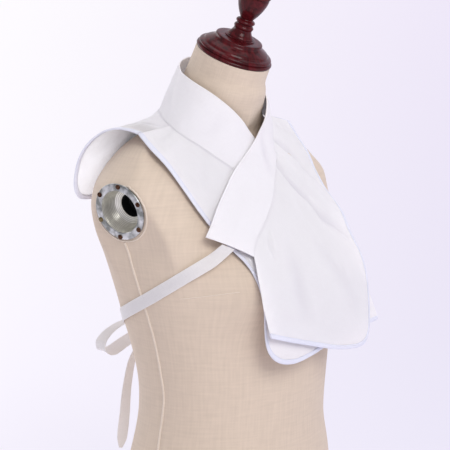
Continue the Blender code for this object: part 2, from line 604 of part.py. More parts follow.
def band_half(side, top, seam):
    """Points of half the neck band, from the nape to its cut end, each row from the top edge to the seam."""
    upper, lower = (
        rail(points, (-points[1][0], points[1][1], points[1][2])) for points in (placed(side, top), seam)
    )
    grid = np.array([
        [upper(s) + (lower(s) - upper(s)) * c for c in np.linspace(0, 1, BAND_COLUMNS)]
        for s in np.linspace(0, 1, BAND_STATIONS)
    ])
    roll = BAND_ROLL * np.sin(np.linspace(0, math.pi, BAND_COLUMNS))
    return grid + grid_normals(grid) * roll[None, :, None]


def binding(name, grid, material_, open_ends):
    """A narrow strip folded over a panel's bound edge, from the panel's own last two columns, trimmed at seams."""
    columns = [grid[:, -2], grid[:, -1], grid_normals(grid)[:, -2], grid_normals(grid)[:, -1]]
    for end, beside in open_ends:
        length = np.linalg.norm(columns[1][beside] - columns[1][end])
        for column in columns:
            column[end] += (column[beside] - column[end]) * BINDING_TRIM / length
    rings = []
    for deep, edge, n_deep, n_edge in zip(*columns):
        out = unit(edge - deep)
        inside = PANEL_WALL / 2 + LAY_GAP
        outside = inside + BINDING_WALL
        rings.append([
            deep + n_deep * outside, edge + n_edge * outside, edge + out * (inside + BINDING_WALL),
            edge - n_edge * outside, deep - n_deep * outside, deep - n_deep * inside,
            edge - n_edge * inside, edge + out * inside, edge + n_edge * inside, deep + n_deep * inside,
        ])
    part = add_part(name, rings_mesh(name, rings, crossed=(3, 8)), material_)
    smooth_shade(part)


def tie_grid(side, wrap, band_end, tree):
    """Points of a tie: from the band's cut end round the form, three to a station."""
    line = rail(wrap)
    beside, end_edge = band_end
    off = unit(end_edge[0] - beside[0]) * SEAM_GAP
    a, b = end_edge[0] + off, end_edge[-1] + off
    start = [a + (b - a) * share for share in (TIE_SHARE[0], sum(TIE_SHARE) / 2, TIE_SHARE[1])]
    centres = []
    for k in range(1, TIE_STATIONS):
        turn, up, gap = line((k - 1) / (TIE_STATIONS - 2))
        heading = Vector((side * math.sin(math.radians(turn)), math.cos(math.radians(turn)), 0))
        low, high = (
            tree.ray_cast(Vector((0, 0, up + step)) + heading * OUTSIDE, -heading)[0]
            for step in (-TAPE_WIDTH / 2, TAPE_WIDTH / 2)
        )
        centres.append(((low + high) / 2 + heading * (gap + TAPE_WALL / 2), high - low))
    rows = []
    for k, (centre, rise) in enumerate(centres):
        along = centres[min(k + 1, len(centres) - 1)][0] - centres[max(k - 1, 0)][0]
        across = (rise - rise.project(along)).normalized() * (TAPE_WIDTH / 2)
        rows.append([centre + across, centre, centre - across])
    grid = np.array([start] + [[tuple(p) for p in row] for row in rows])
    return laid_on(grid, tree, REST_GAP + TAPE_WALL / 2)


def ribbon_grid(middle, table, stations):
    """Points of a free tape about its middle line, three to a station, leaning as its table says."""
    line = rail(table)
    shares = np.linspace(0, 1, stations)
    points = [line(s) for s in shares]
    rows = []
    for k, (x, y, z, lean, width) in enumerate(points):
        before, after = points[max(k - 1, 0)], points[min(k + 1, stations - 1)]
        along = Vector(after[:3] - before[:3]).normalized()
        back = Vector((0, 1, 0)) - along * along.y
        back.normalize()
        angle = math.radians(lean)
        across = back * math.cos(angle) + along.cross(back) * math.sin(angle)
        centre = middle + Vector((x, y, z))
        rows.append([tuple(centre + across * (width / 2 * step)) for step in (-1, 0, 1)])
    return np.array(rows)


def bow(cotton):
    """The knot, two loops and two tails of the tied tapes."""
    bm = bmesh.new()
    bmesh.ops.create_cube(bm, size=1)
    bmesh.ops.scale(bm, vec=KNOT_SIZE, verts=bm.verts)
    mesh = bpy.data.meshes.new("bow_knot")
    bm.to_mesh(mesh)
    bm.free()
    knot = add_part("bow_knot", mesh, cotton)
    knot.location = BOW_MIDDLE
    soft = knot.modifiers.new("soft", "SUBSURF")
    soft.levels = 2
    soft.render_levels = 2
    knot.data.shade_smooth()
    for name, table, stations in (
        ("bow_loop_right", LOOP_RIGHT, LOOP_STATIONS), ("bow_loop_left", LOOP_LEFT, LOOP_STATIONS),
        ("bow_tail_right", TAIL_RIGHT, TAIL_STATIONS), ("bow_tail_left", TAIL_LEFT, TAIL_STATIONS),
    ):
        cloth(name, ribbon_grid(BOW_MIDDLE, table, stations), TAPE_WALL, cotton)


def garment(form_rings):
    """The collar, each piece laid outwards from what lies beneath it: under front and band first, then the upper."""
    cotton = material("cotton", (0.87, 0.85, 0.88), 0.85)
    bias = material("bias_tape", (0.86, 0.87, 0.93), 0.7)
    tape = material("cotton_tape", (0.84, 0.82, 0.85), 0.8)
    rings = np.array([[tuple(p) for p in ring] for ring in form_rings])
    form = slab(np.concatenate([rings, rings[:, :1]], axis=1), 0.0)
    edge_wall = PANEL_WALL + 2 * (LAY_GAP + BINDING_WALL)

    on_form = tree_of([form])
    panel_gap = REST_GAP + edge_wall / 2
    band_gap = REST_GAP + BAND_WALL / 2
    rows = panel_rows(UNDER_CORNER, UNDER_FOLDS)
    under = front_grid(-1, UNDER_SEAM, UNDER_EDGE, UNDER_ROWS, rows, UNDER_FOLDS, 0)
    under = laid_on(under, on_form, panel_gap)
    under_band = band_half(-1, UNDER_TOP, seam_line(-1, UNDER_SEAM, under))
    under_band = laid_on(under_band, on_form, band_gap, BAND_EASE)

    on_under = tree_of([form, slab(under, edge_wall), slab(under_band, BAND_WALL)])
    rows = panel_rows(OVER_CORNER, OVER_FOLDS)
    over = front_grid(1, OVER_SEAM, OVER_EDGE, OVER_ROWS, rows, OVER_FOLDS, OPENING_HOLLOW)
    over = laid_on(over, on_under, panel_gap)
    over_band = band_half(1, OVER_TOP, seam_line(1, OVER_SEAM, over))
    over_band = laid_on(over_band, on_under, band_gap, BAND_EASE)

    back = laid_on(back_grid(), on_form, panel_gap)
    cloth("collar_band", np.concatenate([under_band[:0:-1], over_band]), BAND_WALL, cotton)
    cloth("front_right", under, PANEL_WALL, cotton)
    cloth("front_left", over, PANEL_WALL, cotton)
    cloth("back_panel", back, PANEL_WALL, cotton)
    binding("binding_front_right", under, bias, [(0, 1)])
    binding("binding_front_left", over, bias, [(0, 1)])
    binding("binding_back", back, bias, [(0, 1), (-1, -2)])
    cloth("tie_right", tie_grid(-1, TIE_RIGHT_WRAP, over_band[-2:], on_under), TAPE_WALL, tape)
    cloth("tie_left", tie_grid(1, TIE_LEFT_WRAP, under_band[-2:], on_form), TAPE_WALL, tape)
    bow(tape)


def clear_scene():
    for thing in list(bpy.data.objects):
        bpy.data.objects.remove(thing, do_unlink=True)


def new_collection(name):
    made = bpy.data.collections.new(name)
    bpy.context.scene.collection.children.link(made)
    return made


clear_scene()
PARTS = new_collection("crossed_false_collar_on_dress_form")
CUTTERS = new_collection("cutters")
form_skin = dress_form(material("beige_linen", (0.72, 0.60, 0.51), 0.9))
neck_cap(material("mahogany", (0.062, 0.006, 0.008), 0.12))
arm_sockets(material("steel", (0.62, 0.63, 0.62), 0.3, 1.0), material("aged_brass", (0.35, 0.22, 0.13), 0.45, 1.0))
garment(form_skin)
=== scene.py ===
import math
from collections import namedtuple

import bpy
import numpy as np
from mathutils import Matrix, Vector, noise
from mathutils.bvhtree import BVHTree


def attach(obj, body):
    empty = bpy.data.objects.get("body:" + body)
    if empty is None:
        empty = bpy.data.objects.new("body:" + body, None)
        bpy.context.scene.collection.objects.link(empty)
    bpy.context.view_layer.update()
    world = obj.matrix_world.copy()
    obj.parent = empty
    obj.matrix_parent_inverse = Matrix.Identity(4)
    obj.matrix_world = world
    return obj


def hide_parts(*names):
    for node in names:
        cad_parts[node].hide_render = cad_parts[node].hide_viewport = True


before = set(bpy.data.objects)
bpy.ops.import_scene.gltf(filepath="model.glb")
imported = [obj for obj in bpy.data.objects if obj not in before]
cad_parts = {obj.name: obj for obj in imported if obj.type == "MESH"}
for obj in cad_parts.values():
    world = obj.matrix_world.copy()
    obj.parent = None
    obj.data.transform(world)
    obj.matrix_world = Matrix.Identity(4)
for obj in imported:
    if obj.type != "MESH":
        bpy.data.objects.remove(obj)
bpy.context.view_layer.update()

Place = namedtuple("Place", "out front up")
Section = namedtuple("Section", "up back_shift half_width front back front_shape back_shape tilt")
Drape = namedtuple("Drape", "up front half_width shape")
Ruling = namedtuple("Ruling", "row seam edge")
Fold = namedtuple("Fold", "row reach depth first last")
Wrap = namedtuple("Wrap", "turn up gap")
Ribbon = namedtuple("Ribbon", "out back up lean width")
Crease = namedtuple("Crease", "width height first path")
Fine = namedtuple("Fine", "points down across")
Light = namedtuple("Light", "name ahead aside above size power colour")

# Columns of the tables that hold no length
PLAIN_COLUMNS = set("front_shape back_shape tilt shape row seam edge reach first last turn lean path".split())


def table(kind, *rows):
    """Rows of a table as named tuples; lengths are given in millimetres."""
    plain = [name in PLAIN_COLUMNS for name in kind._fields]
    return [kind(*(v if p else v / 1000 for v, p in zip(row, plain))) for row in rows]


# Cloth
PANEL_WALL = 0.0012
BAND_WALL = 0.0020
TAPE_WALL = 0.0012
TAPE_WIDTH = 0.0160
BINDING_WIDTH = 0.0070
BINDING_WALL = 0.0010
BAND_ROLL = 0.0020
SEAM_START = 0.0013
SEAM_GAP = 0.0005
SHOULDER_START = 0.0006
LAY_GAP = 0.0005
REST_GAP = 0.0010
COLUMNS = 9
BAND_COLUMNS = 5
BAND_STATIONS = 30
BAND_EASE = np.array([1.0, 1.0, 1.0, 0.6, 0.0])
INSIDE_POINT = np.array([0.0, 0.0, 0.45])
SHOULDER_STEP = 0.02

# Dress form
FORM_RINGS = 42
FORM_SIDES = 40
FORM_FLATNESS = 1.35
BUST_OUT = 0.078
BUST_UP = 0.372
BUST_RISE = 0.030
BUST_SPREAD = 0.042
BUST_ABOVE = 0.050
BUST_BELOW = 0.040

# Turned neck cap and finial, on the axis of the leaning neck
NECK_TOP = Vector((0.0, -0.003, 0.655))
NECK_LEAN = math.radians(25)

# Metal arm sockets
SOCKET_CENTRE = Vector((0.180, 0.022, 0.4725))
SOCKET_OUT = Vector((0.963, -0.084, -0.256)).normalized()
FLAT_FROM = 0.365
FLAT_FULL = 0.420
WELL_RADIUS = 0.0292
WELL_DEPTH = 0.0400
SCREW_CIRCLE = 0.0325
SCREW_COUNT = 6
SCREW_TURN = 21
BRASS_SCREW = 3

# The form's rings from base to neck top: height, shift backwards, reach to each side, squareness and tilt.
FORM_SECTIONS = table(
    Section,
    (0, 4, 150, 98, 112, 2.3, 2.4, 0), (6, 4, 156, 104, 118, 2.3, 2.4, 0), (50, 3, 161, 109, 123, 2.3, 2.4, 0),
    (100, 1.5, 155, 107, 117, 2.2, 2.4, 0), (150, -0.5, 143, 105, 110, 2.2, 2.3, 0),
    (190, -1.5, 134.5, 103.5, 105.5, 2.1, 2.2, 0), (220, -3.5, 132, 103, 104, 2.1, 2.2, 0),
    (255, -5.5, 134, 103.5, 104, 2.1, 2.3, 0), (295, -5.5, 139.5, 105, 108, 2.1, 2.5, 0),
    (330, -4.5, 147, 103, 109.5, 2.1, 2.8, 0), (360, -3, 155, 99, 110.5, 2.1, 2.9, 0),
    (390, -2, 165, 94, 111.5, 2.2, 3, 0), (415, -1, 176, 86, 111.5, 2.2, 3, 0),
    (445, 0, 188, 74, 113.5, 2.1, 3.1, 0), (475, 0, 192, 57.5, 118, 1.9, 3.1, 0),
    (500, 1.5, 188, 46.5, 116, 1.8, 2.9, 0), (520, 6, 171, 43.5, 111, 1.6, 2.7, 0),
    (537, 10, 156, 39.5, 102, 1.25, 2.4, 0), (549, 14.5, 142, 38.5, 90, 1.1, 2.2, 0),
    (558, 19, 123, 41, 78, 1.05, 2.1, 0), (568, 22, 99, 48.5, 68, 1.15, 2, 0), (581, 22.5, 78, 53.5, 60, 1.4, 2, 0),
    (596, 20, 64, 54, 54, 1.8, 2, 4), (612, 15.8, 55.8, 54.5, 51, 2, 2, 11), (622, 12, 54, 52.8, 50.5, 2, 2, 15),
    (634, 7, 49.5, 49.5, 50, 2, 2, 19), (1000 * NECK_TOP.z, 1000 * NECK_TOP.y, 48.5, 48.5, 48.5, 2, 2, 25),
)

# The band's upper edge from the nape to its cut end, on the half that crosses underneath and on the one above it.
# Past the throat, out is negative: the edge is then on the far side.
UNDER_TOP = table(
    Place,
    (0, -68, 651.5), (29, -60, 646), (50.5, -40.5, 636), (61, -21.5, 629), (63, -4, 621), (58, 11, 612),
    (49, 22, 602), (35, 30, 589), (19, 34.5, 573.5), (0, 34.5, 554.5), (-30, 37.5, 531), (-55, 43, 514),
    (-82, 49.5, 493), (-100, 57, 476.5), (-117, 62, 457), (-130, 64, 445),
)
OVER_TOP = table(
    Place,
    (0, -68, 651.5), (29, -60, 646), (50, -40.5, 636), (58.5, -21.5, 628.5), (58, -5, 621), (51.7, 8.7, 612),
    (43.2, 20, 602), (33, 29.5, 590), (19, 37.5, 574), (-1, 40.3, 553.5), (-30, 43.5, 531), (-56, 49, 515),
    (-83, 56.5, 493), (-102.5, 62.5, 476.5), (-123.2, 69.5, 456.5), (-135.3, 72.5, 445),
)
# The seam between the band and the panels, from the nape past the shoulder (sixth place) to the band's end.
UNDER_SEAM = table(
    Place,
    (0, -85.5, 591.5), (33.5, -80, 591), (58, -68, 588.5), (77.5, -51, 584), (90.5, -33.5, 577.5), (97, -17, 570),
    (93.5, 1, 558), (83.5, 17.5, 546.5), (69, 32, 532.5), (50.4, 44, 517.4), (30, 53.5, 500.5), (10, 62.5, 484),
    (-10, 70.5, 470.5), (-30, 77.5, 458.5), (-50, 83.5, 446.5), (-68, 89.5, 434.5), (-82, 98.5, 422),
)
OVER_SEAM = table(
    Place,
    (0, -85.5, 591.5), (33.5, -80, 591), (58, -68, 588.5), (76.5, -51, 584.5), (88, -34, 579.5), (92.5, -18, 573.5),
    (80, -0.5, 560), (64.5, 11.5, 549.5), (43, 31.5, 530.8), (26.5, 46.5, 515.5), (11.2, 56.5, 497.5),
    (-5, 69, 479.7), (-21.5, 78, 468), (-40.6, 86, 454), (-56.8, 91.5, 444), (-72.9, 97, 432), (-85.3, 105, 419),
)
SHOULDER_PLACE = 5

# The bound edge of each front, from the shoulder down the side, round the corner and along the hem.
UNDER_EDGE = table(
    Place,
    (146.5, -24, 563), (149, 1, 543.6), (142.9, 18, 526), (137.8, 29, 511), (127, 45.7, 483.2), (116.2, 62, 456),
    (98.5, 86.4, 423), (91.4, 98, 409), (87.2, 106.8, 395), (87.1, 115.3, 376.5), (87.5, 120.8, 358),
    (89.2, 124.2, 336), (88, 127, 314), (79.5, 129, 299.3), (64, 130, 290.2), (41, 131, 286.2), (20.4, 132, 288),
    (-0.5, 132.5, 292.2), (-20.2, 132.5, 296.7), (-60, 131.5, 304.5), (-100, 129.5, 309.5), (-142, 127.8, 313.5),
)
OVER_EDGE = table(
    Place,
    (146.5, -24, 563), (146.5, -8, 542), (140, 13, 522.5), (134.2, 29, 502), (130.5, 45, 485), (128.4, 58, 473),
    (126.5, 84.9, 446.3), (121.5, 106, 417), (118, 121.4, 390.9), (115, 129.7, 365.8), (113.2, 134.5, 337.2),
    (112.7, 135, 311.6), (108, 136.2, 296.5), (95, 137.2, 288.2), (70, 138, 288), (27, 138.5, 294.5),
    (-21.3, 138.5, 306.8), (-60, 138, 317), (-93, 138, 326.5),
)
# The bound edge of the back, from the shoulder down its side and along the hem to the middle.
BACK_EDGE = table(
    Place,
    (146.5, -24, 563), (148, -53, 567.5), (153, -78, 562.5), (157, -100, 546.5), (159, -112, 530), (159, -119, 512),
    (159, -121, 493), (151.5, -121.5, 480), (136, -122, 476.2), (100, -124, 475.5), (50, -127, 475.5),
    (0, -128, 475.5),
)
BACK_BULGE = 0.006

# How far ahead of the axis a front hangs in the middle at each height, and how it falls away to the sides.
FRONT_DRAPE = table(
    Drape,
    (280, 134, 186, 2.7), (320, 133, 186, 2.7), (350, 130, 186, 2.6), (380, 122, 186, 2.6), (410, 107, 188, 2.4),
    (440, 88, 190, 2.2), (470, 70, 190, 2.1), (500, 53, 190, 2), (530, 36, 185, 2), (570, 20, 180, 2),
)

# A front's rows run from its neck seam to its bound edge: where each starts and ends, as shares of those lines.
OVER_ROWS = table(
    Ruling,
    (0, 0, 0), (0.2, 0.21, 0.195), (0.4, 0.4, 0.336), (0.75, 0.68, 0.8), (1, 1, 1),
)
UNDER_ROWS = table(Ruling, (0, 0, 0), (1, 1, 1))
# A fold lies along a row: its half width in rows, its height outwards, and where it starts and ends across.
OVER_FOLDS = table(
    Fold,
    (0.2, 0.03, -3, -0.2, 0.9), (0.29, 0.035, 1.5, 0, 1.1), (0.4, 0.035, -4.5, -0.2, 1.15),
    (0.48, 0.035, 1.5, 0, 1.2), (0.75, 0.05, -3.5, 0.2, 1),
)
UNDER_FOLDS = table(Fold, (0.08, 0.03, 2, 0.1, 1.1), (0.45, 0.05, 1.8, 0.5, 1.2))
# Rows that pass the rounded corner, and the number of rows without folds.
OVER_CORNER = (0.575, 0.665)
UNDER_CORNER = (0.550, 0.635)
BACK_CORNER = (0.465, 0.570)
CORNER_ROWS = 5
PLAIN_ROWS = 19
PLAIN_SPACE = 0.030
LEAST_SPACE = 0.012
FOLD_STEPS = (-1.5, -0.7, 0.0, 0.7, 1.5)
# The upper front's opening edge is hollow by this much, and less from row to row away from it.
OPENING_HOLLOW = 0.008
HOLLOW_FADE = 8

# The ties' middle lines round the form: turn from the back in degrees, height, and gap to the form.
TIE_RIGHT_WRAP = table(
    Wrap,
    (121, 417, 8), (111, 400, 3), (100, 381.2, 1), (88, 363, 1), (71, 342.5, 1), (50, 325, 1), (28, 311, 3),
    (8.5, 304, 9.2),
)
TIE_LEFT_WRAP = table(
    Wrap,
    (121, 417, 5), (111, 400, 2.2), (100, 381.2, 1), (88, 363, 1), (71, 341.5, 1), (50, 323, 1), (28, 310, 3),
    (-1.3, 304, 9.2),
)
TIE_SHARE = (0.345, 0.605)
TIE_STATIONS = 26
OUTSIDE = 0.4

# The bow behind: each free tape's middle line, how its width leans from straight back towards upright, and its width.
BOW_MIDDLE = Vector((-0.0095, 0.1203, 0.3040))
KNOT_SIZE = Vector((0.022, 0.0200, 0.0200))
LOOP_STATIONS = 20
TAIL_STATIONS = 16
LOOP_RIGHT = table(
    Ribbon,
    (-9.2, 2, 4.5, 0, 9), (-25, 10, 6, 2, 15), (-50, 17, 1.5, 2, 16), (-73.5, 19, -7.5, -4, 16),
    (-87.2, 19, -19, -12, 16), (-86.8, 18, -28.8, 2, 16), (-72.5, 16, -32, 42, 16), (-51, 14, -24.5, 62, 15.5),
    (-26, 9, -13.5, 45, 13), (-9.2, 2, -4.5, 0, 9),
)
LOOP_LEFT = table(
    Ribbon,
    (9.2, 2, 4.5, 0, 9), (24, 11, 7, -6, 14.5), (45, 18, 5, -10, 16), (66, 21, -5, -10, 16), (78, 20, -18, -10, 16),
    (75, 18, -29, -20, 16), (61, 15, -33, -45, 16), (42, 13, -27, -60, 15.5), (23, 9, -15, -45, 13),
    (9.2, 2, -4.5, 0, 9),
)
TAIL_RIGHT = table(
    Ribbon,
    (-3, 2, -8.6, 0, 9), (-17, 8, -23, 30, 13.5), (-35, 11.5, -46, 78, 15.5), (-45.5, 12.5, -83, 92, 16),
    (-52.5, 11, -120, 104, 16), (-58, 9.8, -144, 108, 15.5), (-61, 9.2, -156.5, 108, 11.5),
    (-62.8, 9, -162.5, 108, 5),
)
TAIL_LEFT = table(
    Ribbon,
    (3, 2, -8.6, 0, 9), (16, 8, -24, -30, 13.5), (29, 11, -50, -60, 15.5), (37, 12, -86, -85, 16),
    (43, 11, -120, -95, 16), (46, 9.5, -140, -95, 15.5), (48, 9, -150, -92, 11.5), (49, 9, -155, -90, 5),
)

# Turned profiles in millimetres: radius and height over the neck's top, from the top down.
FINIAL_PROFILE = [
    (0, 116), (4, 115.2), (6.4, 112), (6.6, 108.5), (4.6, 105.5), (4.2, 103.5), (7.5, 101.5), (12, 98), (16.5, 92.5),
    (19, 87), (20.4, 84), (20.4, 81.5), (19.2, 80.5), (19.6, 78), (18.6, 72), (16.4, 65), (13.2, 58), (10, 52.5),
    (8.2, 49.4), (11.2, 47.6), (12.2, 45.4), (10.6, 43.2), (9.9, 42.4), (11.6, 40.6), (12.6, 38.6), (11.6, 36.4),
    (11.8, 34), (13.6, 30.5), (16.4, 27.4), (16.8, 25.6), (0, 25.6),
]
CAP_PROFILE = [
    (0, 25.3), (18, 25.3), (19, 24.2), (21, 23.8), (28.6, 23.4), (30.4, 22), (30.6, 19.6), (32.5, 17.4), (37, 14.8),
    (40.6, 12.6), (42.4, 10.3), (44.6, 9.4), (46.6, 8.2), (47.4, 6.4), (46.6, 4.9), (48.4, 4.2), (49.4, 2.4),
    (48.8, 0.7), (47.8, 0.3), (0, 0.3),
]
# Turned profile of a socket in millimetres: from its blind hole's bottom out over the flange and down its back.
SOCKET_PROFILE = [
    (0, -36.0), (14.6, -36.0), (14.6, -20.5), (17.0, -20.0), (22.0, -17.5), (25.0, -9.0), (26.0, 0.0), (26.8, 2.7),
    (28.5, 3.1), (34.2, 3.0), (35.6, 2.2), (35.6, 0.3), (28.6, 0.3), (28.6, -38.5), (0, -38.5),
]
SCREW_PROFILE = [(0, 4.86), (0.6, 4.85), (1.4, 4.75), (2.3, 4.5), (2.9, 4.1), (3.1, 3.6), (3.1, 3.1), (0, 3.1)]
# The radius and the height in millimetres under which a socket's faces are its hole, painted near black as shade, and
# its spun bowl
HOLE_ZONE = (14.8, -20.8)
BOWL_ZONE = (26.9, 2.75)
SOCKET_SOFTENING = 0.5
TIP_RADIUS = 0.000002
TURNED_STATIONS = 150

# Dressing
STEP = 0.0018
TIE_STEP = 0.0015
BOW_STEP = 0.0012
TINY = 1e-12
COTTON_WALL = 0.0009
BAND_THICK = 0.0018
TAPE_THICK = 0.0008
SEAM_LAP = 0.0009
BAND_INSIDE = 0.0011
CREASE_POINTS = 15
CREASE_TAPER = 0.8
STITCH_PITCH = 0.0030
STITCH_LONG = 0.0023
STITCH_THICK = 0.00016
# How far the stitches run from the bindings' edges, and from the band's top edge and its seam
BIND_STITCH = 0.0009
TOP_STITCH = 0.0022
SEAM_STITCH = 0.0020
SKIN_SIDES = 200
SKIN_RINGS = 190
LATHE_SIDES = 96
CORD_SIDES = 8
# The piping under the rim of an arm plate: its circle, its height over the socket's middle and its radius
LIP_CIRCLE = 0.0385
LIP_UP = 0.004
LIP_RADIUS = 0.0012
LIP_SIDES = 72

# A binding: its width, wall, gap and wavering, and the length and place of its waves.
BIND_WIDTH = 0.0064
BIND_THICK = 0.0007
BIND_LIFT = 0.00005
BIND_WAVER = 0.0003
BIND_WAVES = ((0.005, 0.5), (0.02, 2), (0.012, 7.5))
# Its face as shares of its width and wall, and its turn over the cloth's edge in shares of its wall
BIND_PROFILE = ((0.0, 0.05), (0.01, 0.55), (0.08, 0.95), (0.35, 1.1), (0.7, 1.15), (0.97, 1.0))
BIND_TURN = ((0.75, 0.55), (1.05, 0), (0.75, -0.55))

# One turn of a wave texture, the rings of spun metal in a metre, and the grey that deep creases and the seam lines
# are multiplied by, as painted shade
WAVE_TURN = 0.314
RING_SCALE = 150
PAINTED_SHADE_GREY = (0.84, 0.83, 0.86)

SIDE_SEAM = [
    (0.1704, 0.0253, 0.4336), (0.1578, 0.0113, 0.3716), (0.1507, 0.0073, 0.3449), (0.1434, 0.0031, 0.3148),
    (0.1358, -0.0007, 0.2707), (0.1326, -0.0030, 0.2422), (0.1321, -0.0002, 0.2199), (0.1338, 0.0029, 0.1946),
    (0.1372, 0.0032, 0.1751), (0.1500, 0.0030, 0.1100), (0.1560, 0.0030, 0.0500), (0.1520, 0.0030, 0.0060),
]
BUST_DART = [
    (0.1459, -0.0419, 0.3695), (0.1330, -0.0621, 0.3725), (0.1180, -0.0805, 0.3756), (0.1026, -0.0978, 0.3785),
]
BACK_SEAM = [(0.0, 0.11, z) for z in (0.006, 0.08, 0.16, 0.24, 0.32, 0.40, 0.46, 0.52)]
# The flat cut of each panel: its width, length and area, and the piece that it lies on.
CUTS = {
    "under": (0.250, 0.310, 0.0468, "linen_form"), "over": (0.270, 0.320, 0.0515, "front_right_cloth"),
    "back": (0.360, 0.200, 0.0456, "linen_form"),
}
# Creases: half width, height, start of the taper, and the path as shares down and across the piece.
OVER_CREASES = table(
    Crease,
    (7.5, -4, 0.25, [(0.18, 0.03), (0.178, 0.42), (0.218, 0.64), (0.222, 0.88)]),
    (8.5, -6, 0.2, [(0.35, 0), (0.4, 0.2), (0.39, 0.4), (0.42, 0.52), (0.395, 0.71), (0.385, 0.96)]),
    (10, 3, 0.1, [(0.29, 0.05), (0.305, 0.35), (0.3, 0.75)]),
    (14, -3, 0.1, [(0.79, 0.31), (0.82, 0.55), (0.835, 0.84)]),
    (5, -1.8, 0, [(0.865, 0.06), (0.875, 0.17), (0.88, 0.28)]),
    (4.5, 1.4, 0, [(0.83, 0.04), (0.845, 0.14), (0.84, 0.24)]),
    (5, -0.7, 0.1, [(0.055, 0.1), (0.06, 0.45), (0.05, 0.85)]),
    (14, -2.2, 0, [(0.62, 0.3), (0.6, 0.6), (0.61, 0.85)]),
)
UNDER_CREASES = table(
    Crease,
    (5, -1, 0.2, [(0.02, 0.05), (0.035, 0.45), (0.03, 0.85)]),
    (8, -0.7, 0.1, [(0.2, 0.05), (0.215, 0.45), (0.205, 0.8)]),
    (9, 0.7, 0, [(0.38, 0.1), (0.35, 0.5), (0.36, 0.8)]),
    (9, -1, 0, [(0.7, 0.5), (0.72, 0.7), (0.71, 0.9)]),
)
BACK_CREASES = table(
    Crease,
    (5.5, -1.6, 0.3, [(0, 0.04), (0.03, 0.34), (0.068, 0.45), (0.072, 0.8)]),
    (7, 0.8, 0.2, [(0.13, 0.05), (0.15, 0.4), (0.145, 0.75)]),
    (7, -1.3, 0.3, [(0.3, 0.03), (0.32, 0.4), (0.335, 0.8)]),
    (8.5, -0.9, 0.3, [(0.44, 0.03), (0.43, 0.45), (0.44, 0.85)]),
    (7.5, -1.2, 0.3, [(0.585, 0.03), (0.6, 0.4), (0.59, 0.85)]),
    (6.5, -1.3, 0.3, [(0.72, 0.03), (0.705, 0.35), (0.69, 0.75)]),
    (7, 0.8, 0.2, [(0.87, 0.05), (0.86, 0.4), (0.865, 0.75)]),
    (5.5, -1.3, 0.3, [(1, 0.04), (0.972, 0.34), (0.935, 0.45), (0.93, 0.8)]),
)
BAND_CREASES = table(
    Crease,
    (4.5, 1, 0.2, [(0.412, 0.12), (0.388, 0.45), (0.34, 0.9)]),
    (8, -2.4, 0.1, [(0.755, 0.1), (0.797, 0.6), (0.83, 0.92)]),
    (8, -0.6, 0, [(0.3, 0.1), (0.285, 0.5), (0.29, 0.9)]),
    (6, -0.8, 0.1, [(0.5, 0.1), (0.515, 0.5), (0.505, 0.9)]),
    (6, 0.8, 0.1, [(0.6, 0.1), (0.59, 0.55), (0.61, 0.9)]),
    (6, -0.8, 0.1, [(0.675, 0.1), (0.69, 0.5), (0.68, 0.9)]),
)


def distances(points):
    """How far each row of points lies from the first, as a mean over its columns."""
    steps = np.linalg.norm(np.diff(points, axis=0), axis=-1)
    return np.concatenate([[0], np.cumsum(steps.reshape(len(steps), -1).mean(axis=1))])


def rail(points, before=None, measured=(0, 1, 2), fine=16):
    """A smooth line through the points, as a function of the share of its length in the measured columns."""
    p = np.array(points, float)
    first = 2 * p[0] - p[1] if before is None else np.array(before, float)
    padded = np.vstack([first, p, 2 * p[-1] - p[-2]])
    t = np.linspace(0, 1, fine, endpoint=False)[:, None]
    pieces = [
        0.5 * (2 * b + (c - a) * t + (2 * a - 5 * b + 4 * c - d) * t**2 + (3 * b - a - 3 * c + d) * t**3)
        for a, b, c, d in zip(padded, padded[1:], padded[2:], padded[3:])
    ]
    line = np.vstack([*pieces, p[-1:]])
    along = distances(line[:, measured])
    return lambda share: np.array([np.interp(share * along[-1], along, column) for column in line.T])


def unit(v):
    """The vector at length 1."""
    return v / np.linalg.norm(v)


def placed(side, places):
    """Places on one side as points; side is 1 for the wearer's left and -1 for the right."""
    return [(side * p.out, -p.front, p.up) for p in places]


def form_point(row, angle):
    """A point of the form's skin; angle 0 is the wearer's left and a quarter turn is the back."""
    s = Section(*row)
    c, d = math.cos(angle), math.sin(angle)
    reach, shape = (s.back, s.back_shape) if d > 0 else (s.front, s.front_shape)
    size = (abs(c / s.half_width) ** shape + abs(d / reach) ** shape) ** (-1 / shape)
    x, y = size * c, size * d
    if d < 0:
        beside = math.exp(-(((abs(x) - BUST_OUT) / BUST_SPREAD) ** 2))
        fall = BUST_ABOVE if s.up > BUST_UP else BUST_BELOW
        y -= BUST_RISE * beside * math.exp(-(((s.up - BUST_UP) / fall) ** 2)) * min(1, -3 * d)
    tilt = math.radians(s.tilt)
    place = Vector((abs(x), s.back_shift + y * math.cos(tilt), s.up + y * math.sin(tilt)))
    beyond = (place - SOCKET_CENTRE).dot(SOCKET_OUT)
    if beyond > 0 and place.x > SOCKET_CENTRE.x / 2:
        outward = Vector((abs(x), y, 0)).normalized()
        share = min(1, max(0, (s.up - FLAT_FROM) / (FLAT_FULL - FLAT_FROM)))
        place -= outward * (share * beyond / outward.dot(SOCKET_OUT))
    place.x = math.copysign(place.x, x)
    return place


def socket_frame(side):
    """The matrix with its origin at a socket's middle on the skin and its Z pointing out of it."""
    mirror = Vector((side, 1, 1))
    out = (SOCKET_OUT * mirror).to_track_quat("Z", "Y").to_matrix().to_4x4()
    return Matrix.Translation(SOCKET_CENTRE * mirror) @ out


def form_rings(count, sides):
    """The form's rings from base to neck top, each closed by its first point."""
    rows = rail(FORM_SECTIONS, measured=(0, 2))
    turns = np.linspace(0, 2 * math.pi, sides + 1)
    angles = [math.atan2(math.sin(t), FORM_FLATNESS * math.cos(t)) for t in turns]
    return np.array([[tuple(form_point(rows(i / count), a)) for a in angles] for i in range(count + 1)])


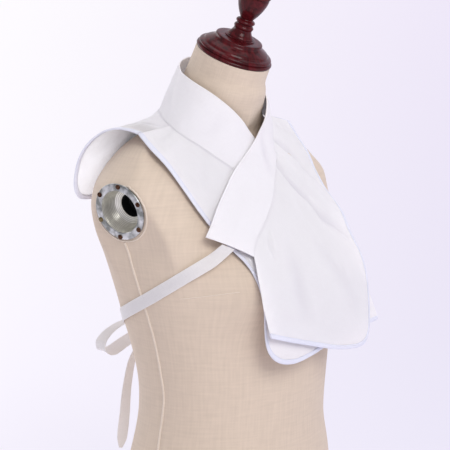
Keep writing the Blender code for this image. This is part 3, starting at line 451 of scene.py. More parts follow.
def numbered(rows, columns):
    """A grid of point numbers."""
    return np.arange(rows * columns).reshape(rows, columns)


def quads_of(index):
    """The faces of a grid of point numbers."""
    return np.stack([index[:-1, :-1], index[1:, :-1], index[1:, 1:], index[:-1, 1:]], axis=-1).reshape(-1, 4)


def turn_of(points, quads, away):
    """1 where the quads face away on the whole, and -1 where they have to be turned over."""
    a, b, d = (points[quads[:, k]] for k in (0, 1, 3))
    return 1 if (np.cross(b - a, d - a) * away).sum() >= 0 else -1


def pairs(first, second):
    """Every pair of the two rows of values, as a grid."""
    return np.stack(np.meshgrid(first, second, indexing="ij"), axis=-1)


def sheet(grid):
    """A grid's points and its quads, as lists."""
    quads = quads_of(numbered(*grid.shape[:2]))[:, [0, 3, 2, 1]]
    return [tuple(p) for p in grid.reshape(-1, 3)], [tuple(q) for q in quads]


def turned_out(normals, points):
    """The normals, all turned to the side away from the form's middle."""
    return normals * np.sign((normals * (points - INSIDE_POINT)).sum())


def grid_normals(grid):
    """A coarse grid's normals."""
    points, quads = sheet(grid)
    mesh = bpy.data.meshes.new("normals")
    mesh.from_pydata(points, [], quads)
    normals = np.array([tuple(n.vector) for n in mesh.vertex_normals]).reshape(grid.shape)
    bpy.data.meshes.remove(mesh)
    return turned_out(normals, grid)


def slab(grid, wall):
    """The outer face of a cloth wall, as points and quads to lay other cloth on."""
    return sheet(grid + grid_normals(grid) * wall / 2)


def tree_of(slabs):
    """One search tree of several slabs."""
    points, quads = [], []
    for some, faces in slabs:
        quads += [tuple(k + len(points) for k in face) for face in faces]
        points += some
    return BVHTree.FromPolygons(points, quads)


def spread(values, take):
    """Each value of a grid with its neighbours: their greatest or their mean."""
    padded = np.pad(values, 1, mode="edge")
    rows, columns = values.shape
    return take([padded[i : i + rows, j : j + columns] for i in range(3) for j in range(3)], axis=0)


def laid_on(grid, tree, gap, ease=1.0, reach=0.025):
    """The grid moved outwards, softly, where it is nearer than the gap to what lies beneath it."""
    normals = grid_normals(grid)
    need = np.zeros(grid.shape[:2])
    for i, j in np.ndindex(need.shape):
        outward = Vector(normals[i, j])
        _, _, _, distance = tree.ray_cast(Vector(grid[i, j]) + outward * reach, -outward, 2 * reach)
        if distance is not None:
            need[i, j] = max(0, reach - distance + gap)
    wide = spread(need, np.max)
    soft = wide
    for _ in range(3):
        soft = np.maximum(wide, spread(soft, np.mean))
    return grid + normals * (soft * ease)[..., None]


def fold_rise(folds, row, across):
    """How far the folds lift a panel at a row and a share across."""
    rise = 0.0
    for f in folds:
        if f.first < across < f.last:
            along = math.sin(math.pi * (across - f.first) / (f.last - f.first))
            rise += f.depth * along * math.exp(-(((row - f.row) / f.reach) ** 2))
    return rise


def panel_rows(corner, folds=()):
    """Rows evenly along a panel, with more round its corner and at each fold's crest and feet."""
    wanted = list(np.linspace(*corner, CORNER_ROWS))
    wanted += [f.row + step * f.reach for f in folds for step in FOLD_STEPS]
    plain = np.linspace(0, 1, PLAIN_ROWS)
    wanted += [row for row in plain if min(abs(row - w) for w in wanted) > PLAIN_SPACE]
    rows = [0.0]
    for row in sorted(wanted):
        if rows[-1] + LEAST_SPACE < row < 1 - LEAST_SPACE:
            rows.append(row)
    return rows + [1.0]


def across_shares(length):
    """Shares across a panel from its seam to its bound edge, with the last one as wide as the binding."""
    start = SEAM_START / length
    end = 1 - BINDING_WIDTH / length
    return [start + (end - start) * k / (COLUMNS - 1) for k in range(COLUMNS)] + [1.0]


def draped_front(x, z):
    """How far ahead of the axis a front hangs at a distance from the middle plane and a height."""
    ups = [d.up for d in FRONT_DRAPE]
    front, half_width, shape = (np.interp(z, ups, [d[k] for d in FRONT_DRAPE]) for k in (1, 2, 3))
    return front * max(0.0, 1 - (abs(x) / half_width) ** shape) ** (1 / shape)


def front_grid(side, seam, edge, rulings, rows, folds, hollow):
    """Points of a front panel: rows from the shoulder to its opening edge, each from neck seam to bound edge."""
    places = placed(side, seam)
    inner = rail(places[SHOULDER_PLACE:], places[SHOULDER_PLACE - 1])
    outer = rail(placed(side, edge))
    shoulder = unit(outer(SHOULDER_STEP) - outer(0)) * SHOULDER_START
    grid = []
    for row in rows:
        a = inner(np.interp(row, [r.row for r in rulings], [r.seam for r in rulings]))
        b = outer(np.interp(row, [r.row for r in rulings], [r.edge for r in rulings]))
        if row == 0:
            a, b = a + shoulder, b + shoulder
        start, end = (draped_front(p[0], p[2]) for p in (a, b))
        line = []
        for v in across_shares(np.linalg.norm(b - a)):
            p = a + (b - a) * v
            p[0] -= side * hollow * row**HOLLOW_FADE * math.sin(math.pi * v)
            p[1] -= draped_front(p[0], p[2]) - (1 - v) * start - v * end
            line.append(p)
        grid.append(line)
    grid = np.array(grid)
    rises = [[fold_rise(folds, row, v) for v in np.linspace(0, 1, COLUMNS + 1)] for row in rows]
    return grid + grid_normals(grid) * np.array(rises)[..., None]


def back_grid():
    """Points of the back panel, from the right shoulder round the nape to the left."""
    halves = []
    for side, seam in ((-1, UNDER_SEAM), (1, OVER_SEAM)):
        places = placed(side, seam)
        inner = rail(places[SHOULDER_PLACE::-1])
        outer = rail(placed(side, BACK_EDGE))
        shoulder = unit(outer(SHOULDER_STEP) - outer(0)) * SHOULDER_START
        half = []
        for share in panel_rows(BACK_CORNER):
            a, b = inner(share), outer(share)
            if share == 0:
                a, b = a + shoulder, b + shoulder
            half.append([a + (b - a) * v for v in across_shares(np.linalg.norm(b - a))])
        halves.append(half)
    grid = np.array(halves[0] + halves[1][-2::-1])
    across = np.linspace(0, 1, COLUMNS + 1)
    along = np.linspace(0, math.pi, len(grid))
    bulge = BACK_BULGE * np.abs(np.sin(along))[:, None] * np.sin(math.pi * across)[None, :]
    return grid + grid_normals(grid) * bulge[..., None]


def seam_line(side, seam, panel):
    """The seam from the nape to the shoulder, and then along a front panel that has been laid in its place."""
    line = placed(side, seam[:SHOULDER_PLACE])
    return line + [a + unit(a - b) * SEAM_START for a, b in zip(panel[:, 0], panel[:, 1])]


def band_half(side, top, seam):
    """Points of half the neck band, from the nape to its cut end, each row from the top edge to the seam."""
    upper, lower = (
        rail(points, (-points[1][0], points[1][1], points[1][2])) for points in (placed(side, top), seam)
    )
    grid = np.array([
        [upper(s) + (lower(s) - upper(s)) * c for c in np.linspace(0, 1, BAND_COLUMNS)]
        for s in np.linspace(0, 1, BAND_STATIONS)
    ])
    roll = BAND_ROLL * np.sin(np.linspace(0, math.pi, BAND_COLUMNS))
    return grid + grid_normals(grid) * roll[None, :, None]


def tie_grid(side, wrap, band_end, tree):
    """Points of a tie: from the band's cut end round the form, three to a station."""
    line = rail(wrap)
    beside, end_edge = band_end
    off = unit(end_edge[0] - beside[0]) * SEAM_GAP
    a, b = end_edge[0] + off, end_edge[-1] + off
    start = [a + (b - a) * share for share in (TIE_SHARE[0], sum(TIE_SHARE) / 2, TIE_SHARE[1])]
    centres = []
    for k in range(1, TIE_STATIONS):
        turn, up, gap = line((k - 1) / (TIE_STATIONS - 2))
        heading = Vector((side * math.sin(math.radians(turn)), math.cos(math.radians(turn)), 0))
        low, high = (
            tree.ray_cast(Vector((0, 0, up + step)) + heading * OUTSIDE, -heading)[0]
            for step in (-TAPE_WIDTH / 2, TAPE_WIDTH / 2)
        )
        centres.append(((low + high) / 2 + heading * (gap + TAPE_WALL / 2), high - low))
    rows = []
    for k, (centre, rise) in enumerate(centres):
        along = centres[min(k + 1, len(centres) - 1)][0] - centres[max(k - 1, 0)][0]
        across = (rise - rise.project(along)).normalized() * (TAPE_WIDTH / 2)
        rows.append([centre + across, centre, centre - across])
    grid = np.array([start] + [[tuple(p) for p in row] for row in rows])
    return laid_on(grid, tree, REST_GAP + TAPE_WALL / 2)


def ribbon_grid(middle, ribbon, stations):
    """Points of a free tape about its middle line, three to a station, leaning as its rows say."""
    line = rail(ribbon)
    shares = np.linspace(0, 1, stations)
    points = [line(s) for s in shares]
    rows = []
    for k, (x, y, z, lean, width) in enumerate(points):
        before, after = points[max(k - 1, 0)], points[min(k + 1, stations - 1)]
        along = Vector(after[:3] - before[:3]).normalized()
        back = Vector((0, 1, 0)) - along * along.y
        back.normalize()
        angle = math.radians(lean)
        across = back * math.cos(angle) + along.cross(back) * math.sin(angle)
        centre = middle + Vector((x, y, z))
        rows.append([tuple(centre + across * (width / 2 * step)) for step in (-1, 0, 1)])
    return np.array(rows)


def refined(values, t, at):
    """The values at other places along the first axis, on smooth lines through them."""
    slope = np.gradient(values, t, axis=0)
    k = np.clip(np.searchsorted(t, at, side="right") - 1, 0, len(t) - 2)
    shape = (-1,) + (1,) * (values.ndim - 1)
    h = (t[k + 1] - t[k]).reshape(shape)
    s = (at - t[k]).reshape(shape) / h
    return (
        (1 + 2 * s) * (1 - s) ** 2 * values[k] + s * (1 - s) ** 2 * h * slope[k]
        + s**2 * (3 - 2 * s) * values[k + 1] + s**2 * (s - 1) * h * slope[k + 1]
    )


def stations(length, wall, step):
    """Distances about a step apart, closer at both ends, where the wall rounds off."""
    near = np.array([0.0, 0.04, 0.16, 0.35]) * wall
    middle = np.linspace(wall / 2, length - wall / 2, max(2, round((length - wall) / step)) + 1)
    return np.concatenate([near, middle, length - near[::-1]])


def fine(grid, wall, step=STEP):
    """The grid with points about a step apart, and their distances along it and across it."""
    sizes = []
    for axis in (0, 1):
        lines = np.moveaxis(grid, axis, 0)
        t = distances(lines)
        sizes.append(stations(t[-1], wall, step))
        grid = np.moveaxis(refined(lines, t, sizes[-1]), 0, axis)
    return Fine(grid, *sizes)


def normals_of(points):
    """A fine grid's normals."""
    n = np.cross(np.gradient(points, axis=0), np.gradient(points, axis=1))
    return turned_out(n / (np.linalg.norm(n, axis=-1, keepdims=True) + TINY), points)


def lifted(cloth, rise):
    """The cloth moved outwards at each point."""
    return cloth._replace(points=cloth.points + normals_of(cloth.points) * rise[..., None])


def uneven(cloth, reach, *waves):
    """Soft uneven rises, 0 at the edges and whole at the reach from them: height, length, width and seed."""
    down, across = (
        s * s * (3 - 2 * s) for s in (np.clip(np.minimum(d, d[-1] - d) / reach, 0, 1) for d in cloth[1:])
    )
    rise = sum(
        height * np.array([
            [noise.noise(Vector((a / long, b / wide, seed))) for b in cloth.across] for a in cloth.down
        ])
        for height, long, wide, seed in waves
    )
    return rise * (down[:, None] * across[None, :])


def crease_rise(cloth, creases):
    """How far the creases lift each point; a crease runs between places given as shares down and across."""
    place = pairs(cloth.down, cloth.across)
    rise = np.zeros(place.shape[:2])
    for c in creases:
        line = rail([np.array(p) * place[-1, -1] for p in c.path], measured=(0, 1), fine=6)
        points = np.array([line(s) for s in np.linspace(0, 1, CREASE_POINTS)])
        nearest = np.full(rise.shape, np.inf)
        along = np.zeros(rise.shape)
        for k, (a, b) in enumerate(zip(points, points[1:])):
            d = b - a
            s = np.clip(((place - a) @ d) / (d @ d), 0, 1)
            off = np.linalg.norm(place - a - s[..., None] * d, axis=-1)
            along = np.where(off < nearest, (k + s) / (CREASE_POINTS - 1), along)
            nearest = np.minimum(off, nearest)
        taper = np.sin(np.pi * np.clip(c.first + along * (1 - c.first), 0, 1)) ** CREASE_TAPER
        rise += c.height * taper * np.exp(-((nearest / c.width) ** 2))
    return rise


def linked(name, data):
    """An object in the scene."""
    made = bpy.data.objects.new(name, data)
    bpy.context.scene.collection.objects.link(made)
    return made


def finished(name, points, faces, look, uv=None, sharp=None):
    """A smooth shaded piece from points and faces, with a texture place for each corner of each face."""
    mesh = bpy.data.meshes.new(name)
    mesh.from_pydata([tuple(p) for p in points], [], [tuple(f) for f in faces])
    if uv is not None:
        layer = mesh.uv_layers.new(name="UVMap")
        layer.data.foreach_set("uv", np.ascontiguousarray(uv, dtype=np.float32).ravel())
    mesh.shade_smooth()
    if sharp is not None:
        mesh.set_sharp_from_angle(angle=math.radians(sharp))
    mesh.materials.append(look)
    piece = linked(name, mesh)
    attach(piece, "root")
    return piece


def thick(name, cloth, wall, look, tone=None):
    """A closed cloth wall round a fine grid, rounded at its edges, with painted shade: greyer where the tone is above
    0.
    """
    down, across = (
        np.sqrt(s * (2 - s)) for s in (np.clip(np.minimum(d, d[-1] - d) / (wall / 2), 0, 1) for d in cloth[1:])
    )
    n = normals_of(cloth.points)
    half = n * (wall / 2 * down[:, None] * across[None, :])[..., None]
    rows, columns = n.shape[:2]
    front = numbered(rows, columns)
    back = front.copy()
    back[1:-1, 1:-1] = rows * columns + numbered(rows - 2, columns - 2)
    points = np.vstack([(cloth.points + half).reshape(-1, 3), (cloth.points - half)[1:-1, 1:-1].reshape(-1, 3)])
    place = pairs(cloth.down, cloth.across).reshape(-1, 2)
    flat = quads_of(front)
    turn = turn_of(points, flat, n[:-1, :-1].reshape(-1, 3))
    faces = np.vstack([flat[:, ::turn], quads_of(back)[:, ::-turn]])
    uv = place[np.vstack([flat[:, ::turn], flat[:, ::-turn]])].reshape(-1, 2)
    piece = finished(name, points, faces, look, uv)
    if tone is not None:
        layer = piece.data.attributes.new("painted_shade", "FLOAT", "POINT")
        layer.data.foreach_set("value", np.concatenate([tone.ravel(), tone[1:-1, 1:-1].ravel()]).astype(np.float32))
    return piece


def sewn_in(cloth, line):
    """The cloth with its first columns led on to a line inside the piece that it is sewn to."""
    points = cloth.points.copy()
    edge = points[:, 0].copy()
    a, d = line[:-1], np.diff(line, axis=0)
    deep = []
    for e in edge:
        s = np.clip(((e - a) * d).sum(axis=1) / (d * d).sum(axis=1), 0, 1)
        near = a + s[:, None] * d
        deep.append(near[np.argmin(np.linalg.norm(near - e, axis=1))])
    deep = np.array(deep)
    for column, share in enumerate((1.0, 0.66, 0.33)):
        points[:, column] = edge + (deep - edge) * share
    reach = float(np.linalg.norm(deep - edge, axis=1).mean())
    across = cloth.across + reach
    across[:3] = reach * np.array([0.0, 0.34, 0.67])
    return cloth._replace(points=points, across=across)


def overlapped(cloth, first, last):
    """The cloth with its first and last rows moved outwards, so that a seam closes."""
    points = cloth.points.copy()
    for end, step, reach in ((0, 1, first), (-1, -1, last)):
        if reach:
            out = points[end] - points[end + 6 * step]
            out /= np.linalg.norm(out, axis=1, keepdims=True)
            for k in range(3):
                points[end + k * step] = points[end + 3 * step] + out * reach * (3 - k) / 3
    return cloth._replace(points=points, down=distances(points))


def tube(name, rings, look, sharp=60, around=None, along=None, kept=None):
    """A closed skin through rings of points, with texture places in metres along and around it."""
    rings = np.array(rings)
    count, sides = rings.shape[:2]
    if around is None:
        gaps = np.linalg.norm(rings - np.roll(rings, 1, axis=1), axis=-1).mean(axis=0)
        around = np.cumsum([*gaps, gaps[0]])
    along = distances(rings) if along is None else along
    index = numbered(count, sides)
    quads = quads_of(np.concatenate([index, index[:, :1]], axis=1))
    corners = quads_of(numbered(count, sides + 1))
    points = rings.reshape(-1, 3)
    centres = rings.mean(axis=1).repeat(sides, axis=0)
    turn = turn_of(points, quads, (points - centres)[quads[:, 0]])
    if kept is not None:
        chosen = kept(points[quads].mean(axis=1))
        quads, corners = quads[chosen], corners[chosen]
    places = pairs(along, around).reshape(-1, 2)[corners[:, ::turn]]
    faces = [*quads[:, ::turn], index[0][::turn], index[-1][::-turn]]
    return finished(name, points, faces, look, np.vstack([places.reshape(-1, 2), np.zeros((2 * sides, 2))]), sharp)


def bound(name, cloth, look, seed):
    """A folded strip of bias tape over a cloth's last column, a little puckered by its stitches."""
    k = int(np.searchsorted(cloth.across, cloth.across[-1] - BIND_WIDTH))
    n = normals_of(cloth.points)
    edge, deep = cloth.points[:, -1], cloth.points[:, k]
    width = np.linalg.norm(edge - deep, axis=1)
    base = COTTON_WALL / 2 + BIND_LIFT
    rings = []
    for d, tip, start, w, up, up_edge in list(zip(cloth.down, edge, deep, width, n[:, k], n[:, -6]))[1:-1]:
        small, large, waver = (noise.noise(Vector((d / long, place, seed))) for long, place in BIND_WAVES)
        t = BIND_THICK * (1 + 0.22 * small + 0.2 * large)
        out = (tip - start) / w
        face = [
            (start + out * (share * w + BIND_WAVER * waver * (1 - share)),
             unit(up * (1 - share) + up_edge * share) * (base + t * high))
            for share, high in BIND_PROFILE
        ]
        turn = [tip + out * t * far + up_edge * (base + t) * high for far, high in BIND_TURN]
        rings.append([p + rise for p, rise in face] + turn + [p - rise for p, rise in face[::-1]])
    return tube(name, rings, look)


def stitched(name, lines, look):
    """Rows of small raised stitches; each line is its points and the cloth's normals there."""
    points, faces = [], []
    for line, normal in lines:
        along = distances(line)
        for start in np.arange(STITCH_PITCH / 2, along[-1] - STITCH_PITCH, STITCH_PITCH):
            at = [start, start + STITCH_LONG / 2, start + STITCH_LONG]
            a, b, c = (np.array([np.interp(s, along, line[:, k]) for k in range(3)]) for s in at)
            n = unit(np.array([np.interp(at[1], along, normal[:, k]) for k in range(3)])) * STITCH_THICK
            side = unit(np.cross(n, c - a)) * STITCH_THICK
            k = len(points)
            points += [a, c, b + side, b + n, b - side, b - n]
            ring = [k + 2, k + 3, k + 4, k + 5]
            for i, j in zip(ring, ring[1:] + ring[:1]):
                faces += [(k, i, j), (k + 1, j, i)]
    return finished(name, points, faces, look)


def beside(cloth, distance, wall, side=1, last=True):
    """The line at a distance from the cloth's last or first column, on its outer or inner face."""
    k = int(np.searchsorted(cloth.across, cloth.across[-1] - distance if last else distance))
    n = normals_of(cloth.points)[:, k] * side
    return cloth.points[:, k] + n * wall / 2, n


def softened(profile, by):
    """A profile with each sharp corner cut back a little."""
    p = np.array(profile, float)
    out = [p[0]]
    for a, b, c in zip(p, p[1:], p[2:]):
        for other in (a, c):
            reach = min(by, 0.3 * np.linalg.norm(other - b))
            out.append(b + unit(other - b) * reach)
    return np.array(out + [p[-1]])


def turned(name, profile, matrix, look, sharp=40):
    """A piece turned from a profile in millimetres, placed by a matrix."""
    turns = np.linspace(0, 2 * np.pi, LATHE_SIDES, endpoint=False)
    r, h = np.array(profile, float).T[..., None] / 1000
    r = np.maximum(r, TIP_RADIUS)
    rings = np.stack([r * np.cos(turns), r * np.sin(turns), h + 0 * turns], axis=-1)
    rings = rings @ np.array(matrix.to_3x3()).T + np.array(matrix.translation)
    return tube(name, rings, look, sharp, np.linspace(0, 1, LATHE_SIDES + 1))


def shader(name, roughness, **values):
    """A material, its node tree and its Principled shader, with constants set on the shader's own sockets."""
    made = bpy.data.materials.new(name)
    made.use_nodes = True
    tree = made.node_tree
    principled = tree.nodes["Principled BSDF"]
    principled.inputs["Roughness"].default_value = roughness
    for key, value in values.items():
        principled.inputs[key.replace("_", " ")].default_value = value
    return made, tree, principled


def add(tree, kind, inputs=(), out=0, **settings):
    """An output of a new node, with its settings, and its inputs given as values or as outputs to link."""
    node = tree.nodes.new("ShaderNode" + kind)
    for key, value in settings.items():
        setattr(node, key, value)
    for key, value in dict(inputs).items():
        if isinstance(value, bpy.types.NodeSocket):
            tree.links.new(value, node.inputs[key])
        else:
            node.inputs[key].default_value = value
    return node.outputs[out]


def maths(tree, a, b, operation="MULTIPLY"):
    """Two values multiplied or added."""
    return add(tree, "Math", {0: a, 1: b}, operation=operation)


def blend(tree, factor, a, b, kind="MIX"):
    """A mix of two colours, each given as numbers or as an output."""
    a, b = (c if isinstance(c, bpy.types.NodeSocket) else (*c, 1) for c in (a, b))
    return add(tree, "Mix", {0: factor, 6: a, 7: b}, 2, data_type="RGBA", blend_type=kind)


def spaced(tree, kind="UV", scale=(1, 1, 1), turn=0):
    """Texture places, stretched and turned."""
    place = add(tree, "TexCoord", out=kind)
    return add(tree, "Mapping", {"Vector": place, "Scale": scale, "Rotation": (0, 0, turn)})


def speckle(tree, place, scale, detail, distortion=0):
    """A cloudy noise."""
    values = {"Vector": place, "Scale": scale, "Detail": detail, "Distortion": distortion}
    return add(tree, "TexNoise", values)


def waves(tree, place, way, distortion):
    """Waves along one direction."""
    values = {"Vector": place, "Scale": 1, "Distortion": distortion, "Detail": 2}
    return add(tree, "TexWave", values, "Fac", bands_direction=way)


def ranged(tree, value, low, high, to_low=0, to_high=1):
    """A value spread from one range to another."""
    ends = {"From Min": low, "From Max": high, "To Min": to_low, "To Max": to_high}
    return add(tree, "MapRange", {"Value": value, **ends})


def surface(tree, principled, colour, height, strength, distance):
    """Gives the shader a colour and a bump."""
    tree.links.new(colour, principled.inputs["Base Color"])
    bump = add(tree, "Bump", {"Height": height, "Strength": strength, "Distance": distance})
    tree.links.new(bump, principled.inputs["Normal"])


def woven(name, light, dark, pitch, depth, roughness, slub, twill=False, **values):
    """A plain or twill weave from the piece's texture places in metres, with uneven threads."""
    made, tree, principled = shader(name, roughness, **values)
    threads = spaced(tree, scale=(WAVE_TURN / pitch, WAVE_TURN / pitch, 1))
    if twill:
        height = waves(tree, threads, "DIAGONAL", 0.6)
    else:
        height = maths(tree, *(waves(tree, threads, way, 0.5) for way in "XY"))
    strands = (speckle(tree, spaced(tree, scale=(a * slub, b * slub, 1)), 1, 3) for a, b in ((1, 12), (12, 1)))
    slubs = maths(tree, *strands, "ADD")
    plain = blend(tree, ranged(tree, slubs, 0.7, 1.3), dark, light)
    # Painted shade: the colour is multiplied towards grey by the mesh's own value at each point, in crease troughs
    # and along seams
    tone = add(tree, "Attribute", out="Fac", attribute_name="painted_shade")
    rough = maths(tree, height, maths(tree, slubs, 0.5), "ADD")
    surface(tree, principled, blend(tree, tone, plain, PAINTED_SHADE_GREY, "MULTIPLY"), rough, 0.6, depth)
    return made


def polished_wood(name, light, dark):
    """Varnished wood with a long grain."""
    made, tree, principled = shader(name, 0.30, Coat_Weight=0.2, Coat_Roughness=0.06, Specular_IOR_Level=0.12)
    grain = speckle(tree, spaced(tree, "Object", (160, 160, 22)), 1, 5, 0.8)
    surface(tree, principled, blend(tree, ranged(tree, grain, 0.35, 0.7), dark, light), grain, 0.12, 0.0003)
    return made


def metal(name, bright, dull, roughness, size):
    """A stained metal, duller where its stains are dark."""
    made, tree, principled = shader(name, roughness, Metallic=1.0)
    stains = speckle(tree, add(tree, "TexCoord", out="Object"), size, 6)
    tree.links.new(blend(tree, ranged(tree, stains, 0.4, 0.65), dull, bright), principled.inputs["Base Color"])
    rough = ranged(tree, stains, 0, 1, roughness * 1.7, roughness * 0.7)
    tree.links.new(rough, principled.inputs["Roughness"])
    return made


def spun_metal(name, bright, dull, roughness):
    """A metal with fine rings round its axis, along its texture places in metres."""
    made, tree, principled = shader(name, roughness, Metallic=0.75)
    rings = waves(tree, spaced(tree, scale=(RING_SCALE, -1, 1), turn=math.pi / 2), "Y", 1.2)
    stains = speckle(tree, add(tree, "TexCoord", out="Object"), 120, 5)
    tone = ranged(tree, maths(tree, rings, stains), 0.1, 0.5)
    surface(tree, principled, blend(tree, tone, dull, bright), rings, 0.35, 0.0004)
    return made


def form_skin(look):
    """The linen covered torso, finer than its solid and open under the arm plates, and a search tree of it."""
    rings = form_rings(SKIN_RINGS, SKIN_SIDES)

    def uncovered(centres):
        open_here = np.zeros(len(centres), bool)
        for side in (-1, 1):
            off = centres - np.array(SOCKET_CENTRE) * (side, 1, 1)
            deep = off @ (np.array(SOCKET_OUT) * (side, 1, 1))
            open_here |= ((off**2).sum(axis=1) - deep**2 < WELL_RADIUS**2) & (np.abs(deep) < WELL_DEPTH / 2)
        return ~open_here

    around = distances(rings[SKIN_RINGS // 3])
    piece = tube("linen_form", rings[:, :-1], look, around=around, along=distances(rings), kept=uncovered)
    faces = [tuple(face.vertices) for face in piece.data.polygons]
    return piece, BVHTree.FromPolygons([tuple(v.co) for v in piece.data.vertices], faces)


def cord(name, centres, sides, ups, radius, look, flat=1):
    """A thin piped seam along the centres, its rings lying in the planes of the side and up directions."""
    turns = np.linspace(0, 2 * np.pi, CORD_SIDES, endpoint=False)
    rings = [
        [c + side * radius * flat * math.cos(t) + up * radius * math.sin(t) for t in turns]
        for c, side, up in zip(centres, sides, ups)
    ]
    piece = tube(name, rings, look)


def welt(name, points, radius, tree, look):
    """A thin raised seam on the form's skin."""
    line = rail(points)
    centres, ups = [], []
    for s in np.linspace(0, 1, max(12, 6 * len(points))):
        p = Vector(line(s))
        heading = Vector((p.x, p.y, 0)).normalized()
        hit, n, _, _ = tree.ray_cast(p + heading * 0.03, -heading)
        if hit is not None:
            centres.append(np.array(hit))
            ups.append(np.array(n))
    sides = [unit(np.cross(unit(a), n)) for a, n in zip(np.gradient(np.array(centres), axis=0), ups)]
    cord(name, centres, sides, ups, radius, look, 1.3)


def garment_grids():
    """Every cloth piece's points, laid outwards from what lies beneath it as the part's solids are."""
    form = sheet(form_rings(FORM_RINGS, FORM_SIDES))
    edge_wall = PANEL_WALL + 2 * (LAY_GAP + BINDING_WALL)
    on_form = tree_of([form])
    panel_gap = REST_GAP + edge_wall / 2
    band_gap = REST_GAP + BAND_WALL / 2
    rows = panel_rows(UNDER_CORNER, UNDER_FOLDS)
    under = front_grid(-1, UNDER_SEAM, UNDER_EDGE, UNDER_ROWS, rows, UNDER_FOLDS, 0)
    under = laid_on(under, on_form, panel_gap)
    under_band = band_half(-1, UNDER_TOP, seam_line(-1, UNDER_SEAM, under))
    under_band = laid_on(under_band, on_form, band_gap, BAND_EASE)
    on_under = tree_of([form, slab(under, edge_wall), slab(under_band, BAND_WALL)])
    rows = panel_rows(OVER_CORNER, OVER_FOLDS)
    over = front_grid(1, OVER_SEAM, OVER_EDGE, OVER_ROWS, rows, OVER_FOLDS, OPENING_HOLLOW)
    over = laid_on(over, on_under, panel_gap)
    over_band = band_half(1, OVER_TOP, seam_line(1, OVER_SEAM, over))
    over_band = laid_on(over_band, on_under, band_gap, BAND_EASE)
    return {
        "under": under, "over": over, "back": laid_on(back_grid(), on_form, panel_gap),
        "band": np.concatenate([under_band[:0:-1], over_band]),
        "tie_right": tie_grid(-1, TIE_RIGHT_WRAP, over_band[-2:], on_under),
        "tie_left": tie_grid(1, TIE_LEFT_WRAP, under_band[-2:], on_form),
    }


CLOTH_DEPTH = dict(Subsurface_Radius=(1.0, 1.0, 1.0), Subsurface_Scale=0.0045)
COTTON = dict(Sheen_Weight=0.1, Subsurface_Weight=0.5, **CLOTH_DEPTH)
FINE_WEAVE = (0.00045, 0.00010, 0.85, 90)
cotton = woven("cotton", (0.905, 0.88, 0.905), (0.875, 0.85, 0.875), *FINE_WEAVE, **COTTON)
# The fronts get a lighter copy of the same cotton: painted light
lit_front_cotton = woven("lit_front_cotton", (0.935, 0.91, 0.93), (0.905, 0.88, 0.90), *FINE_WEAVE, **COTTON)
cape_cotton = woven(
    "cape_cotton", (0.92, 0.895, 0.92), (0.89, 0.865, 0.89), *FINE_WEAVE, **{**COTTON, "Subsurface_Scale": 0.012}
)
# The cape's free part lets more light through than its part beside the seam
cape_tree = cape_cotton.node_tree
across = add(cape_tree, "SeparateXYZ", {"Vector": add(cape_tree, "TexCoord", out="UV")}, "Y")
free = ranged(cape_tree, across, 0.035, 0.085, 0.3, 0.95)
cape_tree.links.new(free, cape_tree.nodes["Principled BSDF"].inputs["Subsurface Weight"])
bias = woven(
    "bias_tape", (0.80, 0.81, 0.93), (0.77, 0.78, 0.90), 0.00035, 0.00010, 0.7, 120,
    Sheen_Weight=0.15, Subsurface_Weight=0.4, **CLOTH_DEPTH,
)
tape = woven(
    "cotton_tape", (0.87, 0.845, 0.835), (0.81, 0.785, 0.775), 0.0010, 0.00015, 0.8, 120, True,
    Sheen_Weight=0.1, Subsurface_Weight=0.4, **CLOTH_DEPTH,
)
thread = shader("sewing_thread", 0.6, Base_Color=(0.79, 0.78, 0.81, 1), Sheen_Weight=0.2)[0]
linen = woven(
    "beige_linen", (0.730, 0.604, 0.479), (0.660, 0.544, 0.430), 0.0009, 0.00012, 0.9, 28, Sheen_Weight=0.15
)
piping = woven("linen_welt", (0.82, 0.71, 0.59), (0.75, 0.64, 0.52), 0.0009, 0.0002, 0.85, 40, Sheen_Weight=0.2)
mahogany = polished_wood("mahogany", (0.108, 0.0070, 0.0100), (0.036, 0.0020, 0.0034))
steel = metal("plated_steel", (0.66, 0.67, 0.68), (0.22, 0.23, 0.22), 0.26, 90)
bowl_steel = spun_metal("spun_steel", (0.88, 0.87, 0.80), (0.58, 0.565, 0.50), 0.30)
# Near black, painted shade for the deep inside of the sockets' holes
dark = shader("socket_hole_painted_shade", 0.6, Base_Color=(0.004, 0.004, 0.004, 1))[0]
rusty = metal("rusty_screws", (0.15, 0.08, 0.045), (0.05, 0.02, 0.015), 0.5, 500)
brass = metal("aged_brass", (0.28, 0.22, 0.12), (0.12, 0.09, 0.04), 0.4, 400)

# The form
skin, skin_tree = form_skin(linen)
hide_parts("dress_form")
for side, word in ((-1, "right"), (1, "left")):
    for name, points, radius in (("side_seam", SIDE_SEAM, 0.0013), ("bust_dart", BUST_DART, 0.0006)):
        welt(f"{name}_{word}", [(side * x, y, z) for x, y, z in points], radius, skin_tree, piping)
welt("back_seam", BACK_SEAM, 0.0009, skin_tree, piping)

# Neck cap and finial
neck_frame = Matrix.Translation(NECK_TOP) @ Matrix.Rotation(NECK_LEAN, 4, "X")
for name, profile in (("neck_cap", CAP_PROFILE), ("finial", FINIAL_PROFILE)):
    closed = rail(profile[:-1], measured=(0, 1), fine=8)
    curve = [closed(s) for s in np.linspace(0, 1, TURNED_STATIONS)]
    piece = turned(f"turned_{name}", curve + profile[-1:], neck_frame, mahogany)
    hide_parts(name)

